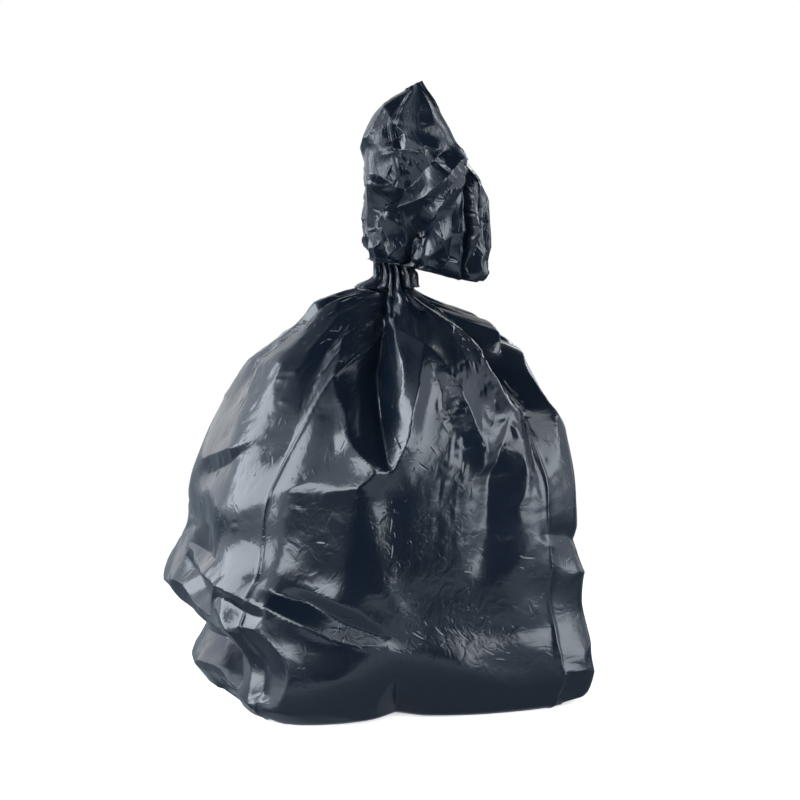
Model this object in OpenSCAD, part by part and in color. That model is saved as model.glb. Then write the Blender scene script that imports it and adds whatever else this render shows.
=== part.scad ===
/* [Filled part] */
// Width of the filled part across its widest bulge
fill_w = 428; // [370:1:500]
// Depth of the filled part, front to back
fill_d = 392; // [330:1:460]
// Height of the shoulders, where the film is gathered into the neck
fill_h = 432; // [370:1:500]
// Turn of the four rounded corners about the upright axis, degrees
corner_turn = 19; // [0:1:35]
// How far the film stands out along each of the four corners
corner_ridge = 4; // [1:0.5:8]
/* [Neck] */
// Width of the gathered neck
neck_w = 52; // [40:1:75]
// Depth of the gathered neck
neck_d = 50; // [36:1:70]
// Height of the gathered neck, from the shoulders to the tuft
neck_h = 36; // [28:1:50]
// Sideways shift of the neck from the middle of the filled part
neck_shift = 16; // [0:1:25]
/* [Tuft] */
// Width of the loose tuft of film above the neck
tuft_w = 140; // [115:1:170]
// Depth of the tuft
tuft_d = 84; // [60:1:110]
// Height of the tuft above the neck
tuft_h = 200; // [165:1:240]
/* [Gathers and folds] */
// Number of gathers round the neck
gathers = 15; // [9:1:19]
// Depth of a gather at the neck
gather_depth = 12; // [4:0.5:16]
// Size of the folds: the fold lists give widths and depths in tenths of this
fold_size = 10; // [6:0.5:12]
// Least half width of a fold, below which the columns would miss it
fold_least = 15; // [10:0.5:20]
// Distance between rings of points, measured along the film
ring_gap = 12.6; // [12.6:0.1:20]
/* [Hidden] */

// Columns of points round the film, a multiple of four so that each corner is a column
columns = 88;

// Sections of the filled part, floor to shoulder: height of the left end and of the right end as shares of
// fill_h, reach to the left, right, front and back as shares of half the width or depth, and squareness
fill_sections = [
  [0.000, 0.000, 0.86, 0.90, 0.88, 0.80, 3.4],
  [0.012, 0.012, 0.87, 0.92, 0.92, 0.84, 3.8],
  [0.045, 0.045, 0.90, 0.91, 0.94, 0.87, 4.8],
  [0.095, 0.095, 0.84, 0.87, 0.94, 0.89, 5.4],
  [0.130, 0.130, 0.82, 0.86, 0.94, 0.90, 5.4],
  [0.170, 0.170, 0.86, 0.84, 0.94, 0.91, 5.2],
  [0.210, 0.210, 0.97, 0.83, 0.93, 0.92, 5.0],
  [0.255, 0.255, 1.01, 0.82, 0.93, 0.92, 5.0],
  [0.310, 0.310, 0.99, 0.81, 0.92, 0.93, 4.8],
  [0.370, 0.370, 0.94, 0.81, 0.91, 0.93, 4.6],
  [0.440, 0.440, 0.94, 0.81, 0.90, 0.93, 4.4],
  [0.510, 0.510, 0.93, 0.80, 0.89, 0.92, 4.2],
  [0.580, 0.580, 0.88, 0.80, 0.87, 0.90, 4.0],
  [0.650, 0.650, 0.83, 0.79, 0.84, 0.86, 3.7],
  [0.715, 0.715, 0.77, 0.78, 0.80, 0.81, 3.4],
  [0.775, 0.770, 0.72, 0.74, 0.75, 0.74, 3.1],
  [0.835, 0.820, 0.66, 0.74, 0.68, 0.66, 2.8],
  [0.890, 0.870, 0.55, 0.70, 0.59, 0.56, 2.6],
  [0.940, 0.905, 0.43, 0.62, 0.48, 0.46, 2.4],
  [0.985, 0.935, 0.34, 0.55, 0.35, 0.36, 2.2]
];
// Sections of the neck, written in the same way: heights as shares of neck_h above the shoulders, and reach
// as shares of half its size
neck_sections = [
  [0.28, -0.20, 1.90, 2.10, 1.60, 1.70, 2.0],
  [0.62, 0.28, 1.05, 1.10, 1.10, 1.10, 2.0],
  [0.85, 0.70, 0.95, 1.00, 1.00, 1.00, 2.0]
];
// Sections of the tuft, which is a flattened tube whose mouth end hangs to the right: height of the left end
// and of the right end, as shares of tuft_h above the neck, reach to the left and right as shares of tuft_w
// from the neck's middle, reach to the front and back as shares of half tuft_d, and squareness
tuft_sections = [
  [0.02, 0.00, 0.18, 0.19, 0.60, 0.60, 2.0],
  [0.07, -0.09, 0.21, 0.58, 0.72, 0.70, 2.0],
  [0.14, -0.08, 0.24, 0.72, 0.86, 0.80, 2.1],
  [0.23, 0.05, 0.24, 0.75, 0.96, 0.92, 2.2],
  [0.36, 0.24, 0.24, 0.74, 1.00, 1.00, 2.2],
  [0.50, 0.42, 0.24, 0.70, 1.00, 1.00, 2.2],
  [0.63, 0.54, 0.24, 0.60, 0.94, 0.90, 2.2],
  [0.73, 0.68, 0.24, 0.46, 0.84, 0.74, 2.1],
  [0.83, 0.81, 0.15, 0.36, 0.66, 0.56, 2.1],
  [0.91, 0.91, 0.03, 0.28, 0.42, 0.36, 2.0],
  [0.95, 0.96, -0.08, 0.22, 0.22, 0.18, 2.0],
  [0.97, 1.00, -0.10, 0.19, 0.06, 0.05, 2.0]
];

// Folds pressed into the filled part. Each row is the side it is seen from, in degrees round from the front,
// how sharp it is, from 0 for a soft hollow to 1 for a pinched crease, and its path: place across as a share
// of half the width, height as a share of fill_h, half width and depth. A depth under zero is a ridge.
fill_folds = [
  // the long gather under the neck
  [0, 0, [[-0.06, 1.06, 10, 18], [-0.06, 0.97, 26, 34], [-0.05, 0.84, 40, 46], [0, 0.72, 36, 40],
            [0.03, 0.64, 14, 14]]],
  // the rim round its foot, the rib on its right and the slack beyond the rib
  [0, 1, [[-0.22, 0.72, 10, -2], [-0.13, 0.68, 10, -6], [-0.04, 0.64, 9, -7], [0.03, 0.62, 9, -8],
            [0.09, 0.64, 9, -6], [0.13, 0.68, 8, -5]]],
  [0, 1, [[0.21, 0.93, 8, -3], [0.18, 0.8, 10, -10], [0.13, 0.68, 8, -5]]],
  [0, 0, [[0.31, 0.92, 20, 2], [0.29, 0.79, 24, 4], [0.21, 0.7, 12, 2]]],
  // the hollow below the foot and the ridge that runs left from it
  [0, 0.6, [[0.03, 0.6, 14, 9], [0.05, 0.54, 26, 12], [0.06, 0.43, 26, 3]]],
  [0, 1, [[-0.43, 0.56, 9, -2], [-0.12, 0.58, 11, -6], [0.01, 0.61, 9, -5]]],
  // the right shoulder: its pinched ridge, the dark fold beside it, the edge beyond and the short edge below
  [30, 1, [[0.36, 1, 10, -14], [0.42, 0.93, 12, -16], [0.45, 0.85, 11, -12], [0.43, 0.76, 8, -6]]],
  [30, 0.8, [[0.51, 0.93, 11, 10], [0.5, 0.86, 14, 16], [0.47, 0.79, 9, 9]]],
  [30, 1, [[0.58, 0.87, 9, -7], [0.53, 0.81, 9, -7], [0.5, 0.75, 7, -4]]],
  [0, 1, [[0.74, 0.75, 7, -5], [0.81, 0.75, 7, -5]]],
  // the soft band down the right of the front and the bent ridges beside it
  [0, 0, [[0.7, 0.73, 10, 4], [0.62, 0.61, 20, 8], [0.57, 0.39, 24, 5]]],
  [0, 1, [[0.68, 0.61, 8, -2], [0.73, 0.6, 9, -4], [0.84, 0.54, 8, -2]]],
  [0, 1, [[0.7, 0.5, 8, -2], [0.76, 0.44, 9, -4], [0.79, 0.37, 8, -2]]],
  // the dent in the bottom edge, and the edge drawn under on both sides of it
  [0, 1, [[0.09, 0.13, 8, 4], [0.1, 0.06, 22, 22], [0.1, -0.02, 32, 36]]],
  [0, 0.3, [[-0.26, -0.03, 16, 6], [0.1, -0.03, 20, 26], [0.43, -0.03, 16, 6]]],
  // the flap at the right foot and the hollow under it
  [0, 1, [[0.88, 0.06, 8, -4], [0.91, 0.1, 8, -6], [1.03, 0.09, 7, -4]]],
  [0, 1, [[0.9, 0.04, 7, 6], [0.95, 0.02, 9, 11], [0.97, -0.01, 11, 13]]],
  // the long fold that runs right from the left crease, its lower edge, upper edge and blunt end
  [0, 1, [[-0.53, 0.32, 9, 9], [-0.36, 0.3, 15, 13], [-0.16, 0.25, 13, 11], [0, 0.22, 7, 4]]],
  [0, 1, [[-0.53, 0.29, 8, -4], [-0.4, 0.26, 8, -6], [-0.24, 0.22, 7, -5], [-0.1, 0.2, 7, -4],
            [0.04, 0.2, 7, -3]]],
  [0, 1, [[-0.5, 0.35, 10, -5], [-0.34, 0.33, 10, -5], [-0.12, 0.29, 10, -4], [0.02, 0.24, 8, -3]]],
  [0, 1, [[-0.14, 0.32, 8, -2], [0.02, 0.33, 9, -4], [0.09, 0.27, 8, -3]]],
  // the folded edge and pocket at the left foot
  [0, 1, [[-0.56, 0.02, 8, -6], [-0.41, -0.01, 7, -5]]],
  [0, 1, [[-0.54, 0, 8, 8], [-0.44, -0.02, 7, 6]]],
  // shallow bends of the front and the crumple beside the right crease
  [0, 1, [[-0.36, 0.14, 10, 0], [-0.23, 0.12, 10, -3], [-0.17, 0.06, 10, 0]]],
  [0, 1, [[0.85, 0.34, 8, -2], [0.95, 0.34, 9, -4], [1.04, 0.33, 8, -2]]],
  [0, 0.7, [[0.86, 0.3, 12, 2], [0.97, 0.25, 13, 5], [1, 0.19, 10, 2]]],
  [0, 1, [[0.23, 0.16, 10, 0], [0.41, 0.12, 12, -3], [0.69, 0.06, 10, -2]]],
  [0, 1, [[-0.36, 0.79, 10, 0], [-0.23, 0.74, 14, 4], [-0.16, 0.61, 10, 0]]],
  [0, 1, [[-0.46, 0.72, 7, 0], [-0.45, 0.67, 7, 5], [-0.52, 0.62, 7, 3]]],
  // the left shoulder: its ridge up to the neck, and dents across the slope below it
  [0, 1, [[-0.35, 0.94, 10, -2], [-0.23, 0.98, 10, -7], [-0.16, 1.04, 9, -8], [-0.09, 1.08, 8, -6]]],
  [0, 1, [[-0.61, 0.9, 7, 3], [-0.39, 0.91, 7, 2]]],
  [0, 1, [[-0.64, 0.84, 8, -3], [-0.54, 0.86, 8, -4], [-0.41, 0.85, 8, -2]]],
  [0, 1, [[-0.69, 0.74, 8, 3], [-0.61, 0.8, 8, 4], [-0.46, 0.81, 7, 2]]],
  // the edge of the front shoulders and the crumpled dip behind it
  [0, 1, [[-0.04, 1.05, 8, -8], [0.12, 1.01, 9, -9], [0.28, 0.98, 9, -9], [0.44, 0.96, 8, -8],
            [0.54, 0.94, 8, -6]]],
  [0, 0.6, [[0.06, 1.05, 8, 8], [0.24, 1.02, 9, 10], [0.41, 1, 8, 8]]],
  // lower left: the overhanging edge, the two hollows under it and the bulge outside them
  [-45, 1, [[-0.7, 0.36, 16, -8], [-0.5, 0.34, 17, -11], [-0.26, 0.33, 17, -13], [0, 0.31, 16, -11],
            [0.24, 0.29, 12, -5]]],
  [-45, 0.6, [[-0.68, 0.31, 16, 12], [-0.5, 0.28, 20, 26], [-0.3, 0.26, 17, 22]]],
  [-45, 0.7, [[-0.12, 0.29, 12, 13], [0.03, 0.27, 13, 18], [0.14, 0.26, 10, 9]]],
  [-45, 1, [[-0.86, 0.28, 16, -4], [-0.66, 0.22, 18, -10], [-0.38, 0.19, 18, -12], [-0.1, 0.19, 14, -6]]],
  // the strip beside the left crease, the hollow left of it, the ear at the foot and the dip below it
  [-45, 1, [[-0.1, 0.28, 11, -5], [0.03, 0.21, 13, -9], [0.07, 0.12, 13, -9], [0.13, 0.04, 12, -5]]],
  [-45, 0.5, [[-0.5, 0.13, 18, 14], [-0.26, 0.11, 20, 22], [-0.11, 0.07, 14, 16]]],
  [-45, 1, [[-0.64, 0.06, 14, -10], [-0.33, 0.08, 13, -9], [-0.12, 0.07, 11, -5]]],
  [-45, 0.6, [[-0.44, 0.02, 15, 14], [-0.16, 0.02, 15, 17]]],
  [-45, 1, [[0.16, 0.18, 9, 4], [0.2, 0.08, 9, 5]]],
  [-45, 1, [[0.04, 0.25, 9, -4], [0.2, 0.23, 9, -3]]],
  // the left cheek: its long ridge, the dip under it and the bent facets lower down
  [-45, 1, [[-0.68, 0.58, 14, -6], [-0.2, 0.65, 16, -9], [0, 0.69, 9, -3]]],
  [-45, 0.8, [[-0.72, 0.52, 24, 6], [-0.32, 0.59, 17, 5], [-0.06, 0.66, 9, 2]]],
  [-45, 1, [[-0.5, 0.69, 9, -2], [-0.18, 0.71, 8, -3], [-0.02, 0.7, 7, -2]]],
  [-45, 1, [[0.06, 0.54, 12, -4], [0.36, 0.61, 12, -5]]],
  [-45, 1, [[-0.71, 0.39, 14, -5], [-0.38, 0.45, 15, -7], [-0.24, 0.49, 12, -4]]],
  [-45, 1, [[-0.66, 0.36, 14, 5], [-0.4, 0.36, 15, 7]]],
  [-45, 1, [[-0.34, 0.34, 12, -5], [-0.09, 0.36, 13, -6], [0.28, 0.38, 11, -4]]],
  // gathers that run down from the neck on the right, the back and the left, with ridges between them
  [55, 0.5, [[0.14, 1.03, 10, 14], [0.1, 0.86, 26, 30], [0.02, 0.66, 22, 12], [-0.04, 0.54, 10, 2]]],
  [55, 1, [[-0.22, 1, 9, -10], [-0.26, 0.84, 12, -12], [-0.24, 0.62, 10, -4]]],
  [80, 0.7, [[-0.06, 1.03, 9, 12], [-0.16, 0.88, 18, 20], [-0.34, 0.7, 14, 6]]],
  [105, 0.5, [[0.05, 1.03, 10, 14], [0.1, 0.85, 26, 28], [0.2, 0.64, 18, 8]]],
  [105, 1, [[0.3, 0.98, 9, -9], [0.36, 0.8, 12, -10], [0.48, 0.62, 9, -3]]],
  [135, 0.7, [[-0.05, 1.03, 9, 12], [-0.1, 0.88, 18, 18], [-0.06, 0.72, 12, 4]]],
  [160, 0.5, [[0.02, 1.03, 10, 14], [0.06, 0.84, 30, 32], [0.02, 0.6, 20, 10], [0.06, 0.5, 8, 2]]],
  [160, 1, [[0.34, 0.96, 9, -10], [0.42, 0.78, 12, -11], [0.4, 0.58, 9, -3]]],
  [185, 1, [[-0.2, 1, 9, -8], [-0.34, 0.82, 11, -10], [-0.52, 0.68, 9, -3]]],
  [205, 0.6, [[-0.03, 1.03, 10, 14], [-0.1, 0.86, 24, 26], [-0.2, 0.66, 16, 6]]],
  [235, 0.5, [[0.04, 1.03, 10, 14], [0.02, 0.84, 26, 26], [0.08, 0.64, 18, 8]]],
  [260, 1, [[-0.14, 1, 9, -9], [-0.26, 0.82, 12, -10], [-0.24, 0.64, 9, -3]]],
  [285, 0.7, [[0.02, 1.03, 10, 12], [-0.06, 0.88, 18, 18], [-0.14, 0.74, 12, 4]]],
  [315, 0.7, [[0.05, 1.03, 8, 10], [0.04, 0.9, 12, 12], [0.1, 0.78, 10, 4]]],
  // slack folds and foot dents of the right side
  [80, 0.8, [[-0.4, 0.44, 12, 6], [0.05, 0.36, 18, 11], [0.45, 0.4, 12, 5]]],
  [80, 1, [[-0.44, 0.37, 10, -4], [0.02, 0.27, 10, -6], [0.48, 0.3, 9, -3]]],
  [60, 1, [[-0.5, 0.2, 10, -3], [-0.1, 0.14, 12, -6], [0.3, 0.2, 9, -3]]],
  [20, 1, [[0.62, 0.52, 8, 0], [0.7, 0.38, 9, 5], [0.62, 0.26, 8, 0]]],
  [125, 1, [[0.1, 0.16, 10, 2], [0.08, 0.07, 20, 12], [0.06, 0, 28, 20]]],
  // slack folds and foot dents of the back
  [170, 0.8, [[-0.5, 0.34, 12, 6], [-0.1, 0.42, 20, 12], [0.4, 0.34, 14, 6]]],
  [170, 1, [[-0.5, 0.24, 10, -4], [0, 0.3, 10, -6], [0.46, 0.24, 9, -3]]],
  [190, 1, [[-0.2, 0.15, 10, 2], [-0.18, 0.07, 20, 12], [-0.16, 0, 26, 18]]],
  [150, 1, [[0.3, 0.14, 9, -3], [0.52, 0.2, 10, -6], [0.66, 0.34, 9, -3]]],
  // slack folds and foot dents of the left side
  [235, 1, [[0.02, 0.16, 10, 2], [0.04, 0.08, 22, 14], [0.02, 0, 28, 20]]],
  [255, 0.8, [[-0.3, 0.5, 12, 5], [0.15, 0.4, 18, 11], [0.55, 0.44, 12, 5]]],
  [255, 1, [[-0.36, 0.3, 10, -4], [0.1, 0.24, 11, -8], [0.5, 0.3, 9, -4]]]
];

// Folds of the tuft, written in the same way, with places across as shares of tuft_w from the neck's middle
// and heights as shares of tuft_h
tuft_folds = [
  // the step from the front sheet down to the sheet behind it, and the front sheet's edge
  [0, 0.3, [[0.54, -0.14, 8, 14], [0.54, 0.14, 9, 28], [0.54, 0.41, 9, 30], [0.52, 0.63, 8, 14],
            [0.47, 0.75, 7, 3]]],
  [0, 1, [[0.46, -0.1, 9, -4], [0.49, 0.2, 9, -6], [0.49, 0.55, 9, -5], [0.45, 0.69, 8, -2]]],
  // the two slanting ridges of the front sheet
  [0, 1, [[-0.15, 0.09, 9, -8], [0.01, 0.28, 10, -12], [0.23, 0.39, 10, -12], [0.44, 0.6, 9, -6]]],
  [0, 1, [[-0.03, 0.02, 8, -6], [0.21, 0.2, 9, -8], [0.41, 0.44, 9, -8]]],
  // the pocket above them, the valley between them and the dip along the upper one
  [0, 0.7, [[-0.12, 0.36, 10, 14], [-0.02, 0.35, 11, 18], [0.05, 0.29, 8, 9]]],
  [0, 0.7, [[0.03, 0.04, 10, 12], [0.13, 0.15, 10, 16], [0.22, 0.23, 8, 8]]],
  [0, 0.8, [[0.01, 0.38, 9, 5], [0.15, 0.47, 10, 8], [0.34, 0.63, 10, 5]]],
  // the dent in the left edge, and the small ridges that leave it
  [0, 0.6, [[-0.18, 0.32, 9, 14], [-0.2, 0.22, 10, 14]]],
  [0, 1, [[-0.24, 0.16, 8, -6], [-0.18, 0.24, 8, -6], [-0.12, 0.29, 7, -3]]],
  [0, 1, [[-0.23, 0.44, 8, -4], [-0.13, 0.44, 8, -6], [-0.07, 0.4, 7, -3]]],
  // bends below the crown, and the two ridges of the crown
  [0, 1, [[-0.18, 0.58, 8, 0], [-0.03, 0.65, 9, -5], [0.17, 0.63, 9, -2]]],
  [0, 1, [[-0.23, 0.7, 8, -3], [-0.03, 0.68, 9, 4], [0.13, 0.74, 9, 3], [0.39, 0.74, 8, -2]]],
  [0, 1, [[-0.09, 0.92, 8, -4], [0, 0.79, 9, -5], [0.1, 0.69, 8, -2]]],
  [0, 1, [[0.17, 0.99, 8, -4], [0.25, 0.85, 9, -5], [0.28, 0.75, 8, -2]]],
  // the lower right of the front sheet
  [0, 1, [[0.27, 0.36, 8, 0], [0.34, 0.17, 10, -5], [0.46, -0.05, 8, -3]]],
  [0, 1, [[0.23, 0.21, 8, 0], [0.31, 0.05, 10, 5], [0.39, -0.06, 8, 3]]],
  // ridges and dips of the sheet behind
  [0, 1, [[0.61, 0.53, 7, -4], [0.65, 0.33, 8, -6], [0.64, 0.09, 8, -6], [0.7, -0.1, 7, -4]]],
  [0, 0.7, [[0.68, 0.41, 8, 8], [0.7, 0.2, 9, 12], [0.62, -0.01, 8, 8]]],
  [0, 1, [[0.55, 0.36, 7, 0], [0.62, 0.24, 8, -6], [0.58, 0.09, 7, -3]]],
  // the back of the tuft: two deep folds with ridges beside them
  [180, 0.8, [[-0.02, 0.04, 10, 12], [-0.14, 0.3, 13, 18], [-0.34, 0.56, 10, 8]]],
  [180, 1, [[-0.14, 0.02, 9, -6], [-0.28, 0.3, 10, -10], [-0.42, 0.5, 9, -4]]],
  [180, 0.8, [[-0.46, -0.02, 9, 10], [-0.52, 0.2, 12, 16], [-0.5, 0.44, 10, 8]]],
  [180, 1, [[0.06, 0.14, 9, -6], [0.02, 0.44, 10, -10], [-0.1, 0.74, 9, -4]]],
  [180, 0.7, [[0.14, 0.34, 9, 8], [0.08, 0.6, 10, 10], [0, 0.8, 8, 4]]],
  [180, 1, [[-0.2, 0.62, 9, -4], [-0.14, 0.8, 9, -5], [-0.16, 0.94, 7, -2]]],
  // the right edge of the tuft
  [90, 0.7, [[0, 0, 9, 8], [0.1, 0.26, 10, 12], [-0.06, 0.5, 9, 6]]]
];

// Eased share of a step, from 0 to 1
function ease(t) = let (c = max(0, min(1, t))) c * c * (3 - 2 * c);

// Value of a list of rows at a place between them, by a smooth curve through the rows
function spline(rows, at) =
  let (
    last = len(rows) - 1,
    i = min(last - 1, floor(at)),
    t = at - i,
    a = rows[max(0, i - 1)],
    b = rows[i],
    c = rows[i + 1],
    d = rows[min(last, i + 2)]
  )
  b + t * ((c - a) / 2 + t * ((a - 2.5 * b + 2 * c - d / 2) + t * ((3 * b - a - 3 * c + d) / 2)));

// Sections in millimetres: height of the left and the right end, their x, the front and back y, squareness
fill_rows = [for (s = fill_sections)
  [s[0] * fill_h, s[1] * fill_h, -s[2] * fill_w / 2, s[3] * fill_w / 2,
   -s[4] * fill_d / 2, s[5] * fill_d / 2, s[6]]];
neck_rows = [for (s = neck_sections)
  [fill_h + s[0] * neck_h, fill_h + s[1] * neck_h,
   neck_shift - s[2] * neck_w / 2, neck_shift + s[3] * neck_w / 2,
   -s[4] * neck_d / 2, s[5] * neck_d / 2, s[6]]];
tuft_z = fill_h + neck_h;
tuft_rows = [for (s = tuft_sections)
  [tuft_z + s[0] * tuft_h, tuft_z + s[1] * tuft_h,
   neck_shift - s[2] * tuft_w, neck_shift + s[3] * tuft_w,
   -s[4] * tuft_d / 2, s[5] * tuft_d / 2, s[6]]];
rows = concat(fill_rows, neck_rows, tuft_rows);

// Places of the rings, as numbers of sections: each gap between two sections is split evenly, so that the
// rings stand about ring_gap apart along the film
function film_gap(a, b) =
  (norm([b[2] - a[2], b[0] - a[0]]) + norm([b[3] - a[3], b[1] - a[1]])
    + norm([b[4] - a[4], (b[0] + b[1] - a[0] - a[1]) / 2])) / 3;
places = concat(
  [for (i = [0:len(rows) - 2])
    let (parts = max(1, round(film_gap(rows[i], rows[i + 1]) / ring_gap)))
    for (k = [0:parts - 1]) i + k / parts],
  [len(rows) - 1]
);

// Squareness of the outline at an angle: above the foot the front left corner is half as square, and the
// front right corner about twice as square up to the shoulder
function squareness_at(s, angle) =
  let (
    soft = pow(max(0, cos(angle - corner_turn - 225)), 3) * ease((s[0] / fill_h - 0.05) / 0.3),
    sharp = pow(max(0, cos(angle - corner_turn - 315)), 3)
      * ease((s[0] / fill_h - 0.02) / 0.1) * (1 - ease((s[0] / fill_h - 0.68) / 0.18))
  )
  s[6] * (1 - 0.5 * soft + 1.1 * sharp);

// Radius of the unit outline at an angle: a circle at squareness 2, nearer a square above that
function outline(angle, squareness) =
  pow(pow(abs(cos(angle - corner_turn)), squareness) + pow(abs(sin(angle - corner_turn)), squareness),
      -1 / squareness);

// Depth of one stretch of a fold at a place: full on its line, tapered to its two ends and falling to its
// two sides, as a smooth bowl or, the sharper it is, as a straight-sided crease
function stretch(p, a, b, sharp) =
  let (
    along = [b[0] - a[0], b[1] - a[1]],
    t = max(0, min(1, ([p[0] - a[0], p[1] - a[1]] * along) / max(along * along, 0.01))),
    near = norm([p[0] - a[0], p[1] - a[1]] - t * along),
    u = 1 - min(1, near / (a[2] + t * (b[2] - a[2])))
  )
  ((1 - sharp) * u * u * (3 - 2 * u) + sharp * u * (0.75 + 0.25 * u)) * (a[3] + t * (b[3] - a[3]));

// Depth of a whole fold at a place: its strongest hollow and its strongest ridge
function fold(p, path, sharp) =
  let (depths = [for (i = [0:len(path) - 2]) stretch(p, path[i], path[i + 1], sharp)])
  max(0, max(depths)) + min(0, min(depths));

// Depth of all folds of a list at a point of the film. A side's folds fade where the film turns away from it.
function folds_at(folds, x, y, z) =
  let (reach = max(norm([x, y]), 1))
  [for (f = folds)
    let (
      across = x * cos(f[0]) + y * sin(f[0]),
      toward = (x * sin(f[0]) - y * cos(f[0])) / reach,
      mask = ease(2.5 * toward)
    )
    mask <= 0 ? 0 : mask * fold([across, z], f[2], f[1])] * [for (f = folds) 1];

// Fold lists with their paths in millimetres
unit = fold_size / 10;
function path_mm(path, wide, base, high) =
  [for (p = path) [p[0] * wide, base + p[1] * high, max(fold_least, p[2] * unit), p[3] * unit]];
fill_folds_mm = [for (f = fill_folds) [f[0], f[1], path_mm(f[2], fill_w / 2, 0, fill_h)]];
tuft_folds_mm = [for (f = tuft_folds) [f[0], f[1], path_mm(f[2], tuft_w, tuft_z, tuft_h)]];

// Share of the gathers at a height: full at the neck, fading down the shoulders and up the tuft
function gather_share(z) =
  z < fill_h ? ease((z - 0.72 * fill_h) / (0.28 * fill_h)) : 1 - ease((z - tuft_z) / (0.5 * tuft_h));

// Depth of the gathers at an angle: sharp valleys between round crests, unevenly spaced, and fainter on the
// front shoulders
function gather_at(angle, z) =
  let (
    wave = abs(sin(gathers * angle / 2 + 34 * sin(3 * angle) + 29 * sin(2 * angle + 57))),
    front = z < 0.97 * fill_h ? ease(2 * cos(angle - 275) - 0.2) : 0
  )
  gather_depth * gather_share(z) * (1 - wave) * (0.7 + 0.3 * sin(5 * angle + 115)) * (1 - 0.8 * front);

// A point of the film at a ring and a column
function film_point(place, column) =
  let (
    s = spline(rows, place),
    angle = corner_turn + 45 + column * 360 / columns,
    r = outline(angle, squareness_at(s, angle)),
    mid = [(s[2] + s[3]) / 2, (s[4] + s[5]) / 2, (s[0] + s[1]) / 2],
    half = [(s[3] - s[2]) / 2, (s[5] - s[4]) / 2, (s[1] - s[0]) / 2],
    out = r * [half[0] * cos(angle), half[1] * sin(angle), half[2] * cos(angle)],
    base = mid + out,
    in_tuft = base[2] > tuft_z - 0.12 * tuft_h,
    corner = pow(abs(sin(2 * (angle - corner_turn))), 60),
    fold_depth = in_tuft
      ? folds_at(tuft_folds_mm, base[0] - neck_shift, base[1], base[2])
      : folds_at(fill_folds_mm, base[0], base[1], base[2]),
    depth = fold_depth + gather_at(angle, base[2]) - corner_ridge * corner * (1 - gather_share(base[2])),
    reach = norm(out),
    point = mid + out * (1 - min(depth, 0.7 * reach) / reach)
  )
  [point[0], point[1], place == 0 ? 0 : max(0, point[2])];

raw_points = [for (place = places, column = [0:columns - 1]) film_point(place, column)];
low = [min([for (p = raw_points) p[0]]), min([for (p = raw_points) p[1]])];
high = [max([for (p = raw_points) p[0]]), max([for (p = raw_points) p[1]])];

// The film, closed at the floor and at the crown, with its base middle at the origin
module bag() {
  color("#1b2430")
    translate([-(low[0] + high[0]) / 2, -(low[1] + high[1]) / 2, 0])
      polyhedron(
        points = raw_points,
        faces = concat(
          [[for (column = [0:columns - 1]) column]],
          [for (ring = [0:len(places) - 2], column = [0:columns - 1])
            let (
              next = (column + 1) % columns,
              low_near = ring * columns + column,
              low_far = ring * columns + next,
              high_near = low_near + columns,
              high_far = low_far + columns,
              rising = norm(raw_points[low_near] - raw_points[high_far]),
              falling = norm(raw_points[low_far] - raw_points[high_near])
            )
            each rising < falling
              ? [[low_near, high_near, high_far], [low_near, high_far, low_far]]
              : [[low_near, high_near, low_far], [high_near, high_far, low_far]]],
          [[for (column = [columns - 1:-1:0]) (len(places) - 1) * columns + column]]
        )
      );
}

bag();
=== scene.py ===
import math

import bpy
import numpy as np
from bpy.props import (
    FloatProperty,
    FloatVectorProperty,
    IntProperty,
    PointerProperty,
    StringProperty,
)
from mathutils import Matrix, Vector


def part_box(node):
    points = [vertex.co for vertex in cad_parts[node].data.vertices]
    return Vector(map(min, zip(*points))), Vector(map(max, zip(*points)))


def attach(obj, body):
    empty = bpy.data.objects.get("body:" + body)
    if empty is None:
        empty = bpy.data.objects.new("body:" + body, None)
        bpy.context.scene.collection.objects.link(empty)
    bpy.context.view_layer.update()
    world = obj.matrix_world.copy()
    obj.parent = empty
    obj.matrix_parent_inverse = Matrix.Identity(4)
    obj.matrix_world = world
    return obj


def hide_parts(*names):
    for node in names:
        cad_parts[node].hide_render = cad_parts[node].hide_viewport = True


bl_info = {
    "name": "Filled bin bag",
    "version": (1, 0, 0),
    "blender": (4, 5, 0),
    "location": "View3D > Sidebar > Bin bag",
    "description": "A full bin bag of thin plastic film, gathered to a neck, with a loose tuft above",
    "category": "Add Mesh",
}

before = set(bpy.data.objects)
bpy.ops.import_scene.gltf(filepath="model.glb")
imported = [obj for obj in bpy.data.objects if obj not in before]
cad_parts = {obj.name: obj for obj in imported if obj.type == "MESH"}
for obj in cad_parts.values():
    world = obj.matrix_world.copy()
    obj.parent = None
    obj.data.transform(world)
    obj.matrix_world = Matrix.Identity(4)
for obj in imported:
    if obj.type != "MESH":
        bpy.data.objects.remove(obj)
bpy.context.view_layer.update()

MM = 0.001

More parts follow.
